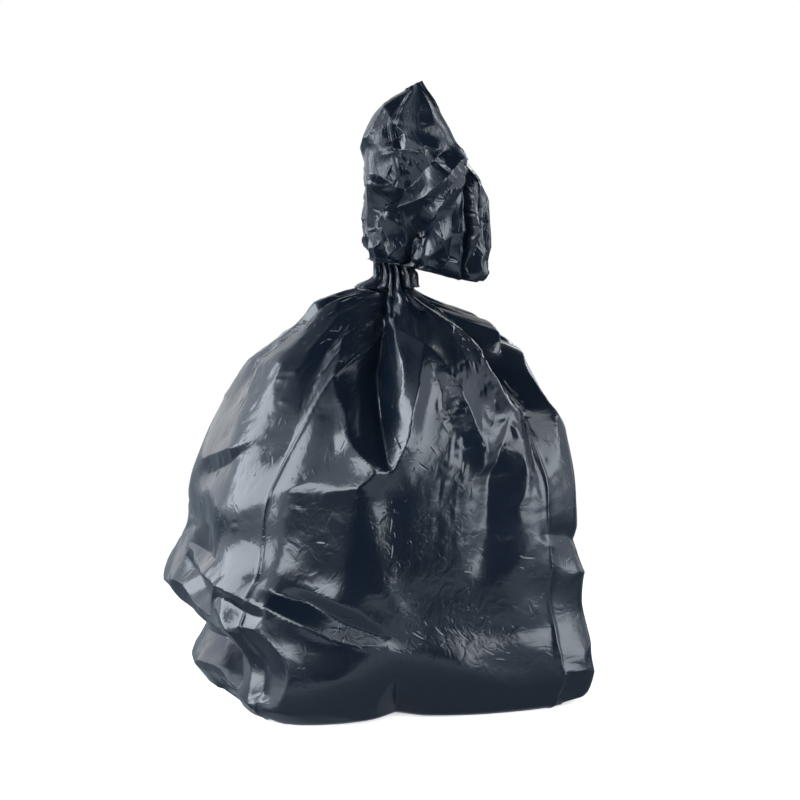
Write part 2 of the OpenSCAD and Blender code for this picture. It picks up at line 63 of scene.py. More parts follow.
# The film between the floor and the neck. Each row is one ring:
# height of its left end and right end as shares of the fill height, reach left and right as shares of
# half the fill width, reach to the front and back as shares of half the fill depth, and squareness.
FILL_RINGS = [
    [0.000, 0.000, 0.86, 0.84, 0.88, 0.80, 3.4],
    [0.012, 0.012, 0.87, 0.86, 0.92, 0.84, 3.8],
    [0.045, 0.045, 0.90, 0.87, 0.94, 0.87, 4.8],
    [0.095, 0.095, 0.84, 0.87, 0.94, 0.89, 5.4],
    [0.130, 0.130, 0.82, 0.86, 0.94, 0.90, 5.4],
    [0.170, 0.170, 0.86, 0.85, 0.94, 0.91, 5.2],
    [0.210, 0.210, 0.97, 0.84, 0.93, 0.92, 5.0],
    [0.255, 0.255, 1.01, 0.82, 0.93, 0.92, 5.0],
    [0.310, 0.310, 0.99, 0.81, 0.92, 0.93, 4.8],
    [0.370, 0.370, 0.94, 0.81, 0.91, 0.93, 4.6],
    [0.440, 0.440, 0.94, 0.81, 0.90, 0.93, 4.4],
    [0.510, 0.510, 0.93, 0.80, 0.89, 0.92, 4.2],
    [0.580, 0.580, 0.88, 0.80, 0.87, 0.90, 4.0],
    [0.650, 0.650, 0.83, 0.79, 0.84, 0.86, 3.7],
    [0.715, 0.715, 0.77, 0.78, 0.80, 0.81, 3.4],
    [0.775, 0.770, 0.72, 0.74, 0.75, 0.74, 3.1],
    [0.835, 0.820, 0.66, 0.74, 0.68, 0.66, 2.8],
    [0.890, 0.870, 0.55, 0.70, 0.59, 0.56, 2.6],
    [0.940, 0.905, 0.43, 0.62, 0.48, 0.46, 2.4],
    [0.985, 0.935, 0.34, 0.55, 0.35, 0.36, 2.2],
]
# The gathered neck, the same way: heights as shares of the neck height, reaches of half its width and depth.
NECK_RINGS = [
    [0.28, -0.20, 1.90, 2.10, 1.60, 1.70, 2.0],
    [0.62, 0.28, 1.05, 1.10, 1.10, 1.10, 2.0],
    [0.85, 0.70, 0.95, 1.00, 1.00, 1.00, 2.0],
]
# The loose tuft: heights as shares of its height, reaches left and right of its width, front and back
# of half its depth. Its right side hangs below its left, so the film falls over to the right.
TUFT_RINGS = [
    [0.02, 0.00, 0.18, 0.19, 0.60, 0.60, 2.0],
    [0.07, -0.09, 0.21, 0.58, 0.72, 0.70, 2.0],
    [0.14, -0.08, 0.24, 0.72, 0.86, 0.80, 2.1],
    [0.23, 0.05, 0.24, 0.75, 0.96, 0.92, 2.2],
    [0.36, 0.24, 0.24, 0.74, 1.00, 1.00, 2.2],
    [0.50, 0.42, 0.24, 0.70, 1.00, 1.00, 2.2],
    [0.63, 0.54, 0.24, 0.60, 0.94, 0.90, 2.2],
    [0.73, 0.68, 0.24, 0.46, 0.84, 0.74, 2.1],
    [0.83, 0.81, 0.15, 0.36, 0.66, 0.56, 2.1],
    [0.91, 0.91, 0.03, 0.28, 0.42, 0.36, 2.0],
    [0.95, 0.96, -0.08, 0.22, 0.22, 0.18, 2.0],
    [0.97, 1.00, -0.10, 0.19, 0.06, 0.05, 2.0],
]
# Folds of the full part. Each is [facing angle, sharpness, path]: 0 faces the front and 90 the right side,
# sharpness 0 is a soft hollow and 1 a pinched crease. A path point holds the place across as a share of
# half the fill width, its height as a share of the fill height, half the fold's width and its depth in mm.
# A depth below 0 is a ridge.
FILL_FOLDS = [
    # the long gather under the neck
    [0, 0, [[-0.06, 1.06, 10, 18], [-0.06, 0.97, 26, 34], [-0.05, 0.84, 40, 46], [0, 0.72, 36, 40],
            [0.03, 0.64, 14, 14]]],
    # the rim round its foot, the rib on its right and the slack beyond the rib
    [0, 1, [[-0.22, 0.72, 10, -2], [-0.13, 0.68, 10, -6], [-0.04, 0.64, 9, -7], [0.03, 0.62, 9, -8],
            [0.09, 0.64, 9, -6], [0.13, 0.68, 8, -5]]],
    [0, 1, [[0.21, 0.93, 8, -3], [0.18, 0.8, 10, -10], [0.13, 0.68, 8, -5]]],
    [0, 0, [[0.31, 0.92, 20, 2], [0.29, 0.79, 24, 4], [0.21, 0.7, 12, 2]]],
    # the hollow below the foot and the ridge that runs left from it
    [0, 0.6, [[0.03, 0.6, 14, 7], [0.05, 0.54, 26, 6], [0.06, 0.43, 26, 2]]],
    [0, 1, [[-0.43, 0.56, 9, -2], [-0.12, 0.58, 11, -6], [0.01, 0.61, 9, -5]]],
    # the right shoulder: its pinched ridge, the dark fold beside it, the edge beyond and the short edge below
    [30, 1, [[0.36, 1, 10, -14], [0.42, 0.93, 12, -16], [0.45, 0.85, 11, -12], [0.43, 0.76, 8, -6]]],
    [30, 0.8, [[0.51, 0.93, 11, 10], [0.5, 0.86, 14, 16], [0.47, 0.79, 9, 9]]],
    [30, 1, [[0.58, 0.87, 9, -7], [0.53, 0.81, 9, -7], [0.5, 0.75, 7, -4]]],
    [0, 1, [[0.74, 0.75, 7, -5], [0.81, 0.75, 7, -5]]],
    # the soft band down the right of the front and the bent ridges beside it
    [0, 0, [[0.67, 0.73, 10, 4], [0.58, 0.61, 20, 8], [0.53, 0.39, 24, 5]]],
    [0, 1, [[0.68, 0.61, 8, -2], [0.73, 0.6, 9, -2], [0.84, 0.54, 8, -1]]],
    [0, 1, [[0.7, 0.5, 8, -1], [0.76, 0.44, 9, -2], [0.79, 0.37, 8, -1]]],
    # the soft swell down the right of the front, between the band and the right crease
    [0, 0.3, [[0.68, 0.7, 34, -4], [0.68, 0.52, 44, -8], [0.68, 0.34, 44, -6], [0.7, 0.2, 34, -2]]],
    # the dent in the bottom edge, and the edge drawn under on both sides of it
    [0, 1, [[0.09, 0.13, 8, 4], [0.1, 0.06, 22, 22], [0.1, -0.02, 32, 36]]],
    [0, 0.3, [[-0.26, -0.03, 16, 6], [0.1, -0.03, 20, 26], [0.43, -0.03, 16, 6]]],
    # the flap at the right foot and the hollow under it
    [0, 1, [[0.88, 0.06, 8, -4], [0.91, 0.1, 8, -6], [1.03, 0.09, 7, -4]]],
    [0, 1, [[0.9, 0.04, 7, 6], [0.95, 0.02, 9, 11], [0.97, -0.01, 11, 13]]],
    # the long fold that runs right from the left crease, its lower edge, upper edge and blunt end
    [0, 0.7, [[-0.53, 0.32, 10, 4], [-0.36, 0.3, 17, 11], [-0.16, 0.25, 16, 9], [0, 0.22, 9, 3]]],
    [0, 1, [[-0.53, 0.29, 8, -4], [-0.4, 0.26, 8, -6], [-0.24, 0.22, 7, -5], [-0.1, 0.2, 7, -4],
            [0.04, 0.2, 7, -3]]],
    [0, 1, [[-0.5, 0.35, 12, -3], [-0.34, 0.33, 12, -3], [-0.12, 0.29, 12, -3], [0.02, 0.24, 10, -2]]],
    [0, 1, [[-0.14, 0.32, 8, -2], [0.02, 0.33, 9, -4], [0.09, 0.27, 8, -3]]],
    # the folded edge and pocket at the left foot
    [0, 1, [[-0.56, 0.02, 8, -6], [-0.41, -0.01, 7, -5]]],
    [0, 1, [[-0.54, 0, 8, 8], [-0.44, -0.02, 7, 6]]],
    # shallow bends of the front and the crumple beside the right crease
    [0, 1, [[-0.36, 0.14, 10, 0], [-0.23, 0.12, 10, -3], [-0.17, 0.06, 10, 0]]],
    [0, 1, [[0.85, 0.34, 8, -2], [0.95, 0.34, 9, -4], [1.04, 0.33, 8, -2]]],
    [0, 0.7, [[0.86, 0.3, 12, 2], [0.97, 0.25, 13, 5], [1, 0.19, 10, 2]]],
    [0, 1, [[0.23, 0.16, 10, 0], [0.41, 0.12, 12, -3], [0.69, 0.06, 10, -2]]],
    [0, 1, [[-0.36, 0.79, 10, 0], [-0.23, 0.74, 14, 4], [-0.16, 0.61, 10, 0]]],
    [0, 1, [[-0.46, 0.72, 7, 0], [-0.45, 0.67, 7, 5], [-0.52, 0.62, 7, 3]]],
    # the left shoulder: its ridge up to the neck, and dents across the slope below it
    [0, 1, [[-0.35, 0.94, 10, -2], [-0.23, 0.98, 10, -7], [-0.16, 1.04, 9, -8], [-0.09, 1.08, 8, -6]]],
    [0, 1, [[-0.61, 0.9, 7, 3], [-0.39, 0.91, 7, 2]]],
    [0, 1, [[-0.64, 0.84, 8, -3], [-0.54, 0.86, 8, -4], [-0.41, 0.85, 8, -2]]],
    [0, 1, [[-0.69, 0.74, 8, 3], [-0.61, 0.8, 8, 4], [-0.46, 0.81, 7, 2]]],
    # the edge of the front shoulders and the crumpled dip behind it
    [0, 1, [[-0.04, 1.05, 8, -8], [0.12, 1.01, 9, -9], [0.28, 0.98, 9, -9], [0.44, 0.96, 8, -8],
            [0.54, 0.94, 8, -6]]],
    [0, 0.6, [[0.06, 1.05, 8, 8], [0.24, 1.02, 9, 10], [0.41, 1, 8, 8]]],
    # lower left: the overhanging edge, the two hollows under it and the bulge outside them
    [-45, 1, [[-0.7, 0.36, 16, -8], [-0.5, 0.34, 17, -11], [-0.26, 0.33, 17, -13], [0, 0.31, 16, -11],
              [0.24, 0.29, 12, -5]]],
    [-45, 0.6, [[-0.68, 0.31, 16, 12], [-0.5, 0.28, 20, 26], [-0.3, 0.26, 17, 22]]],
    [-45, 0.4, [[-0.12, 0.29, 15, 9], [0.03, 0.27, 16, 9], [0.14, 0.26, 13, 4]]],
    [-45, 1, [[-0.86, 0.28, 16, -4], [-0.66, 0.22, 18, -10], [-0.38, 0.19, 18, -12], [-0.1, 0.19, 14, -6]]],
    # the strip beside the left crease, the hollow left of it, the ear at the foot and the dip below it
    [-45, 1, [[-0.1, 0.28, 11, -5], [0.03, 0.21, 13, -9], [0.07, 0.12, 13, -9], [0.13, 0.04, 12, -5]]],
    [-45, 0.5, [[-0.5, 0.13, 18, 14], [-0.26, 0.11, 20, 22], [-0.11, 0.07, 14, 16]]],
    [-45, 1, [[-0.64, 0.06, 14, -10], [-0.33, 0.08, 13, -9], [-0.12, 0.07, 11, -5]]],
    [-45, 0.6, [[-0.44, 0.02, 15, 14], [-0.16, 0.02, 15, 17]]],
    [-45, 1, [[0.16, 0.18, 9, 4], [0.2, 0.08, 9, 5]]],
    [-45, 1, [[0.04, 0.25, 9, -2], [0.2, 0.23, 9, -2]]],
    # the left cheek: its long ridge, the dip under it and the bent facets lower down
    [-45, 1, [[-0.68, 0.58, 14, -6], [-0.2, 0.65, 16, -9], [0, 0.69, 9, -3]]],
    [-45, 0.8, [[-0.72, 0.52, 24, 6], [-0.32, 0.59, 17, 5], [-0.06, 0.66, 9, 2]]],
    [-45, 1, [[-0.5, 0.69, 9, -2], [-0.18, 0.71, 8, -3], [-0.02, 0.7, 7, -2]]],
    [-45, 1, [[0.06, 0.54, 12, -4], [0.36, 0.61, 12, -5]]],
    [-45, 1, [[-0.71, 0.39, 14, -5], [-0.38, 0.45, 15, -7], [-0.24, 0.49, 12, -4]]],
    [-45, 1, [[-0.66, 0.36, 14, 5], [-0.4, 0.36, 15, 7]]],
    [-45, 1, [[-0.34, 0.34, 12, -5], [-0.09, 0.36, 13, -6], [0.28, 0.38, 11, -4]]],
    # gathers that run down from the neck on the right, the back and the left, with ridges between them
    [55, 0.5, [[0.14, 1.03, 10, 14], [0.1, 0.86, 26, 30], [0.02, 0.66, 22, 12], [-0.04, 0.54, 10, 2]]],
    [55, 1, [[-0.22, 1, 9, -10], [-0.26, 0.84, 12, -12], [-0.24, 0.62, 10, -4]]],
    [80, 0.7, [[-0.06, 1.03, 9, 12], [-0.16, 0.88, 18, 20], [-0.34, 0.7, 14, 6]]],
    [105, 0.5, [[0.05, 1.03, 10, 14], [0.1, 0.85, 26, 28], [0.2, 0.64, 18, 8]]],
    [105, 1, [[0.3, 0.98, 9, -9], [0.36, 0.8, 12, -10], [0.48, 0.62, 9, -3]]],
    [135, 0.7, [[-0.05, 1.03, 9, 12], [-0.1, 0.88, 18, 18], [-0.06, 0.72, 12, 4]]],
    [160, 0.5, [[0.02, 1.03, 10, 14], [0.06, 0.84, 30, 32], [0.02, 0.6, 20, 10], [0.06, 0.5, 8, 2]]],
    [160, 1, [[0.34, 0.96, 9, -10], [0.42, 0.78, 12, -11], [0.4, 0.58, 9, -3]]],
    [185, 1, [[-0.2, 1, 9, -8], [-0.34, 0.82, 11, -10], [-0.52, 0.68, 9, -3]]],
    [205, 0.6, [[-0.03, 1.03, 10, 14], [-0.1, 0.86, 24, 26], [-0.2, 0.66, 16, 6]]],
    [235, 0.5, [[0.04, 1.03, 10, 14], [0.02, 0.84, 26, 26], [0.08, 0.64, 18, 8]]],
    [260, 1, [[-0.14, 1, 9, -9], [-0.26, 0.82, 12, -10], [-0.24, 0.64, 9, -3]]],
    [285, 0.7, [[0.02, 1.03, 10, 12], [-0.06, 0.88, 18, 18], [-0.14, 0.74, 12, 4]]],
    [315, 0.7, [[0.05, 1.03, 8, 10], [0.04, 0.9, 12, 12], [0.1, 0.78, 10, 4]]],
    # slack folds and foot dents of the right side
    [80, 0.8, [[-0.4, 0.44, 12, 6], [0.05, 0.36, 18, 11], [0.45, 0.4, 12, 5]]],
    [80, 1, [[-0.44, 0.37, 10, -4], [0.02, 0.27, 10, -6], [0.48, 0.3, 9, -3]]],
    [60, 1, [[-0.2, 0.15, 10, 0], [0.02, 0.14, 12, -5], [0.3, 0.2, 9, -3]]],
    [20, 1, [[0.62, 0.52, 8, 0], [0.7, 0.38, 9, 5], [0.62, 0.26, 8, 0]]],
    [125, 1, [[0.1, 0.16, 10, 2], [0.08, 0.07, 20, 12], [0.06, 0, 28, 20]]],
    # slack folds and foot dents of the back
    [170, 0.8, [[-0.5, 0.34, 12, 6], [-0.1, 0.42, 20, 12], [0.4, 0.34, 14, 6]]],
    [170, 1, [[-0.5, 0.24, 10, -4], [0, 0.3, 10, -6], [0.46, 0.24, 9, -3]]],
    [190, 1, [[-0.2, 0.15, 10, 2], [-0.18, 0.07, 20, 12], [-0.16, 0, 26, 18]]],
    [150, 1, [[0.3, 0.14, 9, -3], [0.52, 0.2, 10, -6], [0.66, 0.34, 9, -3]]],
    # slack folds and foot dents of the left side
    [235, 1, [[0.02, 0.16, 10, 2], [0.04, 0.08, 22, 14], [0.02, 0, 28, 20]]],
    [255, 0.8, [[-0.3, 0.5, 12, 5], [0.15, 0.4, 18, 11], [0.55, 0.44, 12, 5]]],
    [255, 1, [[-0.36, 0.3, 10, -4], [0.1, 0.24, 11, -8], [0.5, 0.3, 9, -4]]],
]
# Folds of the tuft, the same way, with places as shares of the tuft's width and height.
TUFT_FOLDS = [
    # the swell of the front sheet
    [0, 0, [[0.3, 0.6, 66, -9], [0.34, 0.3, 66, -9], [0.36, 0.05, 50, -4]]],
    # the step from the front sheet down to the sheet behind it, and the front sheet's edge
    [0, 0.3, [[0.54, -0.14, 8, 14], [0.54, 0.14, 9, 28], [0.54, 0.41, 9, 30], [0.52, 0.63, 8, 14],
              [0.47, 0.75, 7, 3]]],
    [0, 1, [[0.46, -0.1, 9, -4], [0.49, 0.2, 9, -6], [0.49, 0.55, 9, -5], [0.45, 0.69, 8, -2]]],
    # the two slanting ridges of the front sheet
    [0, 1, [[-0.15, 0.09, 9, -8], [0.01, 0.28, 10, -12], [0.23, 0.39, 10, -12], [0.44, 0.6, 9, -6]]],
    [0, 1, [[-0.03, 0.02, 8, -6], [0.21, 0.2, 9, -8], [0.41, 0.44, 9, -8]]],
    # the pocket above them, the valley between them and the dip along the upper one
    [0, 0.7, [[-0.12, 0.36, 10, 14], [-0.02, 0.35, 11, 18], [0.05, 0.29, 8, 9]]],
    [0, 0.7, [[0.03, 0.04, 10, 12], [0.13, 0.15, 10, 16], [0.22, 0.23, 8, 8]]],
    [0, 0.8, [[0.01, 0.38, 9, 5], [0.15, 0.47, 10, 8], [0.34, 0.63, 10, 5]]],
    # the dent in the left edge, and the small ridges that leave it
    [0, 0.6, [[-0.18, 0.32, 9, 14], [-0.2, 0.22, 10, 14]]],
    [0, 1, [[-0.24, 0.16, 8, -6], [-0.18, 0.24, 8, -6], [-0.12, 0.29, 7, -3]]],
    [0, 1, [[-0.23, 0.44, 8, -4], [-0.13, 0.44, 8, -6], [-0.07, 0.4, 7, -3]]],
    # bends below the crown, and the two ridges of the crown
    [0, 1, [[-0.18, 0.58, 8, 0], [-0.03, 0.65, 9, -5], [0.17, 0.63, 9, -2]]],
    [0, 1, [[-0.23, 0.7, 8, -3], [-0.03, 0.68, 9, 4], [0.13, 0.74, 9, 3], [0.39, 0.74, 8, -2]]],
    [0, 1, [[-0.09, 0.92, 8, -4], [0, 0.79, 9, -5], [0.1, 0.69, 8, -2]]],
    [0, 1, [[0.17, 0.99, 8, -4], [0.25, 0.85, 9, -5], [0.28, 0.75, 8, -2]]],
    # the lower right of the front sheet
    [0, 1, [[0.27, 0.36, 8, 0], [0.34, 0.17, 10, -5], [0.46, -0.05, 8, -3]]],
    [0, 1, [[0.23, 0.21, 8, 0], [0.31, 0.05, 10, 5], [0.39, -0.06, 8, 3]]],
    # ridges and dips of the sheet behind
    [0, 1, [[0.61, 0.53, 7, -4], [0.65, 0.33, 8, -6], [0.64, 0.09, 8, -6], [0.7, -0.1, 7, -4]]],
    [0, 0.7, [[0.68, 0.41, 8, 8], [0.7, 0.2, 9, 12], [0.62, -0.01, 8, 8]]],
    [0, 1, [[0.55, 0.36, 7, 0], [0.62, 0.24, 8, -6], [0.58, 0.09, 7, -3]]],
    # the back of the tuft: two deep folds with ridges beside them
    [180, 0.8, [[-0.02, 0.04, 10, 12], [-0.14, 0.3, 13, 18], [-0.34, 0.56, 10, 8]]],
    [180, 1, [[-0.14, 0.02, 9, -6], [-0.28, 0.3, 10, -10], [-0.42, 0.5, 9, -4]]],
    [180, 0.8, [[-0.46, -0.02, 9, 10], [-0.52, 0.2, 12, 16], [-0.5, 0.44, 10, 8]]],
    [180, 1, [[0.06, 0.14, 9, -6], [0.02, 0.44, 10, -10], [-0.1, 0.74, 9, -4]]],
    [180, 0.7, [[0.14, 0.34, 9, 8], [0.08, 0.6, 10, 10], [0, 0.8, 8, 4]]],
    [180, 1, [[-0.2, 0.62, 9, -4], [-0.14, 0.8, 9, -5], [-0.16, 0.94, 7, -2]]],
    # the right edge of the tuft
    [90, 0.7, [[0, 0, 9, 8], [0.1, 0.26, 10, 12], [-0.06, 0.5, 9, 6]]],
]
# Loose creases that the film takes as it is handled, in the film's own plane:
# count, lowest and highest place as shares of the piece's length, middle and half spread in degrees round
# the bag, shortest and longest in mm, narrowest and widest half width in mm, steepness,
# direction in degrees (0 runs round the bag, 90 up it) and its spread.
FILL_CREASES = [
    [60, 0.03, 0.88, 0, 180, 60, 170, 20, 40, 0.08, 0, 90],
    [26, 0.48, 0.88, 100, 92, 70, 170, 12, 26, 0.16, 90, 22],
    [190, 0.03, 0.88, 0, 180, 30, 80, 7, 15, 0.11, 0, 90],
    [80, 0.66, 0.96, 100, 105, 25, 70, 6, 12, 0.22, 90, 30],
    [60, 0.04, 0.31, 212, 28, 24, 70, 7, 14, 0.22, 30, 60],
    [34, 0.16, 0.73, 318, 14, 14, 44, 6, 11, 0.24, 40, 70],
    [26, 0.19, 0.54, 285, 16, 14, 40, 6, 11, 0.20, 20, 60],
]
FILL_CRINKLES = [
    [420, 0.03, 0.90, 0, 180, 8, 30, 3.0, 6, 0.12, 0, 90],
    [260, 0.62, 0.97, 100, 110, 12, 34, 3.0, 6, 0.20, 90, 45],
    [150, 0.33, 0.74, 297, 3.5, 6, 16, 2.5, 4, 0.20, 0, 40],
    [50, 0.33, 0.74, 297, 5, 16, 44, 2.5, 4, 0.22, 90, 10],
    [110, 0.30, 0.80, 315, 16, 8, 26, 2.5, 4.5, 0.28, 60, 50],
    [90, 0.40, 0.80, 212, 26, 10, 30, 2.8, 4.5, 0.26, 0, 90],
    [180, 0.05, 0.86, 90, 88, 26, 90, 5, 11, 0.24, 0, 90],
    [50, 0.06, 0.60, 90, 70, 40, 110, 5, 10, 0.26, 90, 35],
]
TUFT_CREASES = [
    [54, 0.14, 0.95, 0, 180, 50, 120, 12, 24, 0.30, 55, 50],
    [90, 0.14, 0.95, 0, 180, 22, 60, 6, 12, 0.36, 60, 90],
]
TUFT_CRINKLES = [
    [420, 0.08, 0.96, 0, 180, 8, 30, 2.0, 4, 0.34, 50, 90],
    [60, 0.02, 0.16, 0, 180, 8, 24, 1.5, 3, 0.30, 90, 15],
]
NECK_CUT = len(FILL_RINGS) + 1     # the two pieces of film meet at the middle ring of the neck
LAST_RING = len(FILL_RINGS) + len(NECK_RINGS) + len(TUFT_RINGS) - 1
MEASURED_GIRTH = 1400.0   # mm, once round the flat film tube: the base of the film's own measure
FILL_GRID = (235, 420)             # rows up the film and columns round it
TUFT_GRID = (240, 400)
FILL_LIKENESS = 0.12               # how unlike two faces' normals may be and still become one facet
TUFT_LIKENESS = 0.15
CRINKLE_LIKENESS = 0.10
FACET_ROUNDS = ((1, 3), (2, 4), (4, 4), (8, 3), (4, 2), (2, 2), (1, 3))   # hop in faces, times
FILL_SKIRT = 3.2                   # how many times wider than its core a sharp fold's foot is
TUFT_SKIRT = 1.7
FRONT_LEFT = 225                   # the front corners of the rounded square, in degrees
FRONT_RIGHT = 315
FIRST_CREASE = 217                 # the front left roll crease, in degrees from the square's turn
CREASE_HEIGHT = 1.8                # mm, the roll creases
CREASE_WIDTH = 2.0                 # mm, in which they die away by e
CREASE_LEAN = 14                   # degrees by which the front left one leans under the neck
VIEW_MIDDLE = Vector((0.0315, 0.0, 0.318))   # m, the middle of the photograph's view
FILM_NAME = "blown LDPE film"


def ease(t):
    """0 below 0, 1 above 1, and between them three times the square less twice the cube."""
    t = np.clip(t, 0.0, 1.0)
    return t * t * (3.0 - 2.0 * t)


def through_rows(rows, at):
    """Rows read between each other: a curve through all of them, whose slope at a row is half the
    difference of its neighbours."""
    rows = np.asarray(rows, float)
    last = len(rows) - 1
    i = np.clip(at.astype(int), 0, last - 1)
    t = (at - i)[:, None]
    a = rows[np.maximum(i - 1, 0)]
    b = rows[i]
    c = rows[i + 1]
    d = rows[np.minimum(i + 2, last)]
    return b + 0.5 * t * (c - a + t * (2 * a - 5 * b + 4 * c - d + t * (3 * (b - c) + d - a)))


def placed_rings(rows, base, height, shift, width, depth):
    """Rows of shares as rings in mm: heights over the base, reaches from the shift, and squareness."""
    return [[base + r[0] * height, base + r[1] * height, shift - r[2] * width, shift + r[3] * width,
             -r[4] * depth, r[5] * depth, r[6]] for r in rows]


def ring_table(size):
    """All rings from the floor to the tuft's tip in mm: left and right height, left and right reach,
    front and back reach, squareness."""
    height = size["fill_height"]
    shift = size["neck_shift"]
    base = height + size["neck_height"]
    rings = placed_rings(FILL_RINGS, 0, height, 0, size["fill_width"] / 2, size["fill_depth"] / 2)
    rings += placed_rings(NECK_RINGS, height, size["neck_height"], shift, size["neck_width"] / 2,
                          size["neck_depth"] / 2)
    rings += placed_rings(TUFT_RINGS, base, size["tuft_height"], shift, size["tuft_width"],
                          size["tuft_depth"] / 2)
    return np.array(rings)


def fold_depth(folds, x, y, z, wide, high, skirt):
    """How far the folds draw the film in. Each fold is measured in the view along its facing angle.
    Between two path points its depth is the reading of the profile at the distance from the line over
    the half width there: an ease curve for a soft fold, and for a sharp one half a tent and half a wider
    tent, whose foot is the skirt times as wide. A hollow counts once where its stretches meet, and it
    fades out on the film that faces away."""
    total = np.zeros_like(x)
    radius = np.hypot(x, y) + 1e-9
    for facing, sharp, path in folds:
        angle = math.radians(facing)
        across = x * math.cos(angle) + y * math.sin(angle)
        toward = (x * math.sin(angle) - y * math.cos(angle)) / radius
        hollow = np.zeros_like(x)
        ridge = np.zeros_like(x)
        for a, b in zip(path[:-1], path[1:]):
            ax = a[0] * wide
            az = a[1] * high
            dx = b[0] * wide - ax
            dz = b[1] * high - az
            s = np.clip(((across - ax) * dx + (z - az) * dz) / (dx * dx + dz * dz), 0.0, 1.0)
            gap = np.hypot(across - ax - s * dx, z - az - s * dz) / (a[2] + s * (b[2] - a[2]))
            u = np.clip(1.0 - gap, 0.0, 1.0)
            wing = np.clip(1.0 - gap / skirt, 0.0, 1.0)
            tent = 0.5 * u * (0.75 + 0.25 * u) + 0.5 * wing * (0.6 + 0.4 * wing)
            profile = (1.0 - sharp) * u * u * (3.0 - 2.0 * u) + sharp * tent
            draw = (a[3] + s * (b[3] - a[3])) * profile
            hollow = np.maximum(hollow, draw)
            ridge = np.minimum(ridge, draw)
        total += ease(2.5 * toward) * (hollow + ridge)
    return total


def film_rings(size, at, angle, folded=True):
    """The film in mm for ring places and angles. A point is its ring's middle plus the reach to that
    side, along a rounded square turned by the crease turn, rounder at its front left corner and sharper
    at its front right one, less the folds' depth and the gathers'. Those are one less the size of a
    sine, so that their valleys are sharp and their crests round."""
    rings = through_rows(ring_table(size), at)
    share = rings[:, :1] / size["fill_height"]
    turned = angle - math.radians(size["crease_turn"])
    soft_corner = np.clip(np.cos(turned - math.radians(FRONT_LEFT)), 0, 1)[None] ** 3
    soft_corner = soft_corner * ease((share - 0.05) / 0.3)
    sharp_corner = np.clip(np.cos(turned - math.radians(FRONT_RIGHT)), 0, 1)[None] ** 3
    sharp_corner = sharp_corner * ease((share + 0.04) / 0.07) * (1 - ease((share - 0.68) / 0.18))
    power = rings[:, 6][:, None] * (1 - 0.5 * soft_corner + 1.1 * sharp_corner)
    reach = (np.abs(np.cos(turned))[None] ** power + np.abs(np.sin(turned))[None] ** power) ** (-1 / power)
    least = rings[:, [2, 4, 0]]
    most = rings[:, [3, 5, 1]]
    middle = (least + most)[:, None, :] / 2
    half = (most - least)[:, None, :] / 2
    round_it = np.stack([np.cos(angle), np.sin(angle), np.cos(angle)], -1)
    out = reach[..., None] * half * round_it[None]
    points = middle + out
    if not folded:
        return points
    x, y, z = np.moveaxis(points, -1, 0)
    base = size["fill_height"] + size["neck_height"]
    of_fill = fold_depth(FILL_FOLDS, x, y, z, size["fill_width"] / 2, size["fill_height"], FILL_SKIRT)
    of_tuft = fold_depth(TUFT_FOLDS, x - size["neck_shift"], y, z - base, size["tuft_width"],
                         size["tuft_height"], TUFT_SKIRT)
    folds = np.where(z > base - 0.12 * size["tuft_height"], of_tuft, of_fill)
    low = ease((z / size["fill_height"] - 0.72) / 0.28)
    high = 1 - ease((z - base) / (0.5 * size["tuft_height"]))
    gathered = np.where(z < size["fill_height"], low, high)
    a = angle[None]
    wave = np.abs(np.sin(0.5 * size["gathers"] * a + 0.6 * np.sin(3 * a) + 0.5 * np.sin(2 * a + 1)))
    front = ease(2 * np.cos(a - math.radians(275)) - 0.2) * (z < 0.97 * size["fill_height"])
    uneven = (0.7 + 0.3 * np.sin(5 * a + 2)) * (1 - 0.8 * front)
    gather = size["gather_depth"] * gathered * (1 - wave) * uneven
    corner = np.abs(np.sin(2 * turned))[None] ** 60
    depth = folds + gather - size["crease_ridge"] * corner * (1 - gathered)
    length = np.linalg.norm(out, axis=-1)
    return middle + out * (1 - np.minimum(depth, 0.7 * length) / length)[..., None]


def even_rows(size, first, last, count):
    """Ring places spaced evenly along the film between two rings, and the film's length in mm."""
    at = np.linspace(first, last, 1500)
    points = film_rings(size, at, np.radians(np.arange(0, 360, 10.0)), folded=False)
    step = np.linalg.norm(np.diff(points, axis=0), axis=-1).mean(axis=1)
    along = np.concatenate([[0.0], np.cumsum(step)])
    return np.interp(np.linspace(0, along[-1], count), along, at), along[-1]


def column_angles(size, count):
    """Angles round the bag from the front left roll crease on. Their closeness is one plus half the
    cosine of the angle off the front, plus a bell of 1.3 degrees at each of the four roll creases."""
    start = math.radians(size["crease_turn"] + FIRST_CREASE)
    fine = start + np.linspace(0, 2 * np.pi, 7201)
    off_crease = (fine - start + np.pi / 4) % (np.pi / 2) - np.pi / 4
    close = 1 + 0.5 * np.cos(fine - math.radians(280)) + 2.2 * np.exp(-(off_crease / math.radians(1.3)) ** 2)
    share = np.concatenate([[0], np.cumsum((close[1:] + close[:-1]) / 2)])
    return np.interp(np.arange(count) / count, share / share[-1], fine)


def point_normals(film):
    """Outward normals: the cross product of the steps round the bag and up it."""
    round_step = np.roll(film, -1, axis=1) - np.roll(film, 1, axis=1)
    up_step = np.gradient(film, axis=0)
    normal = np.cross(round_step, up_step)
    return normal / (np.linalg.norm(normal, axis=-1, keepdims=True) + 1e-9)


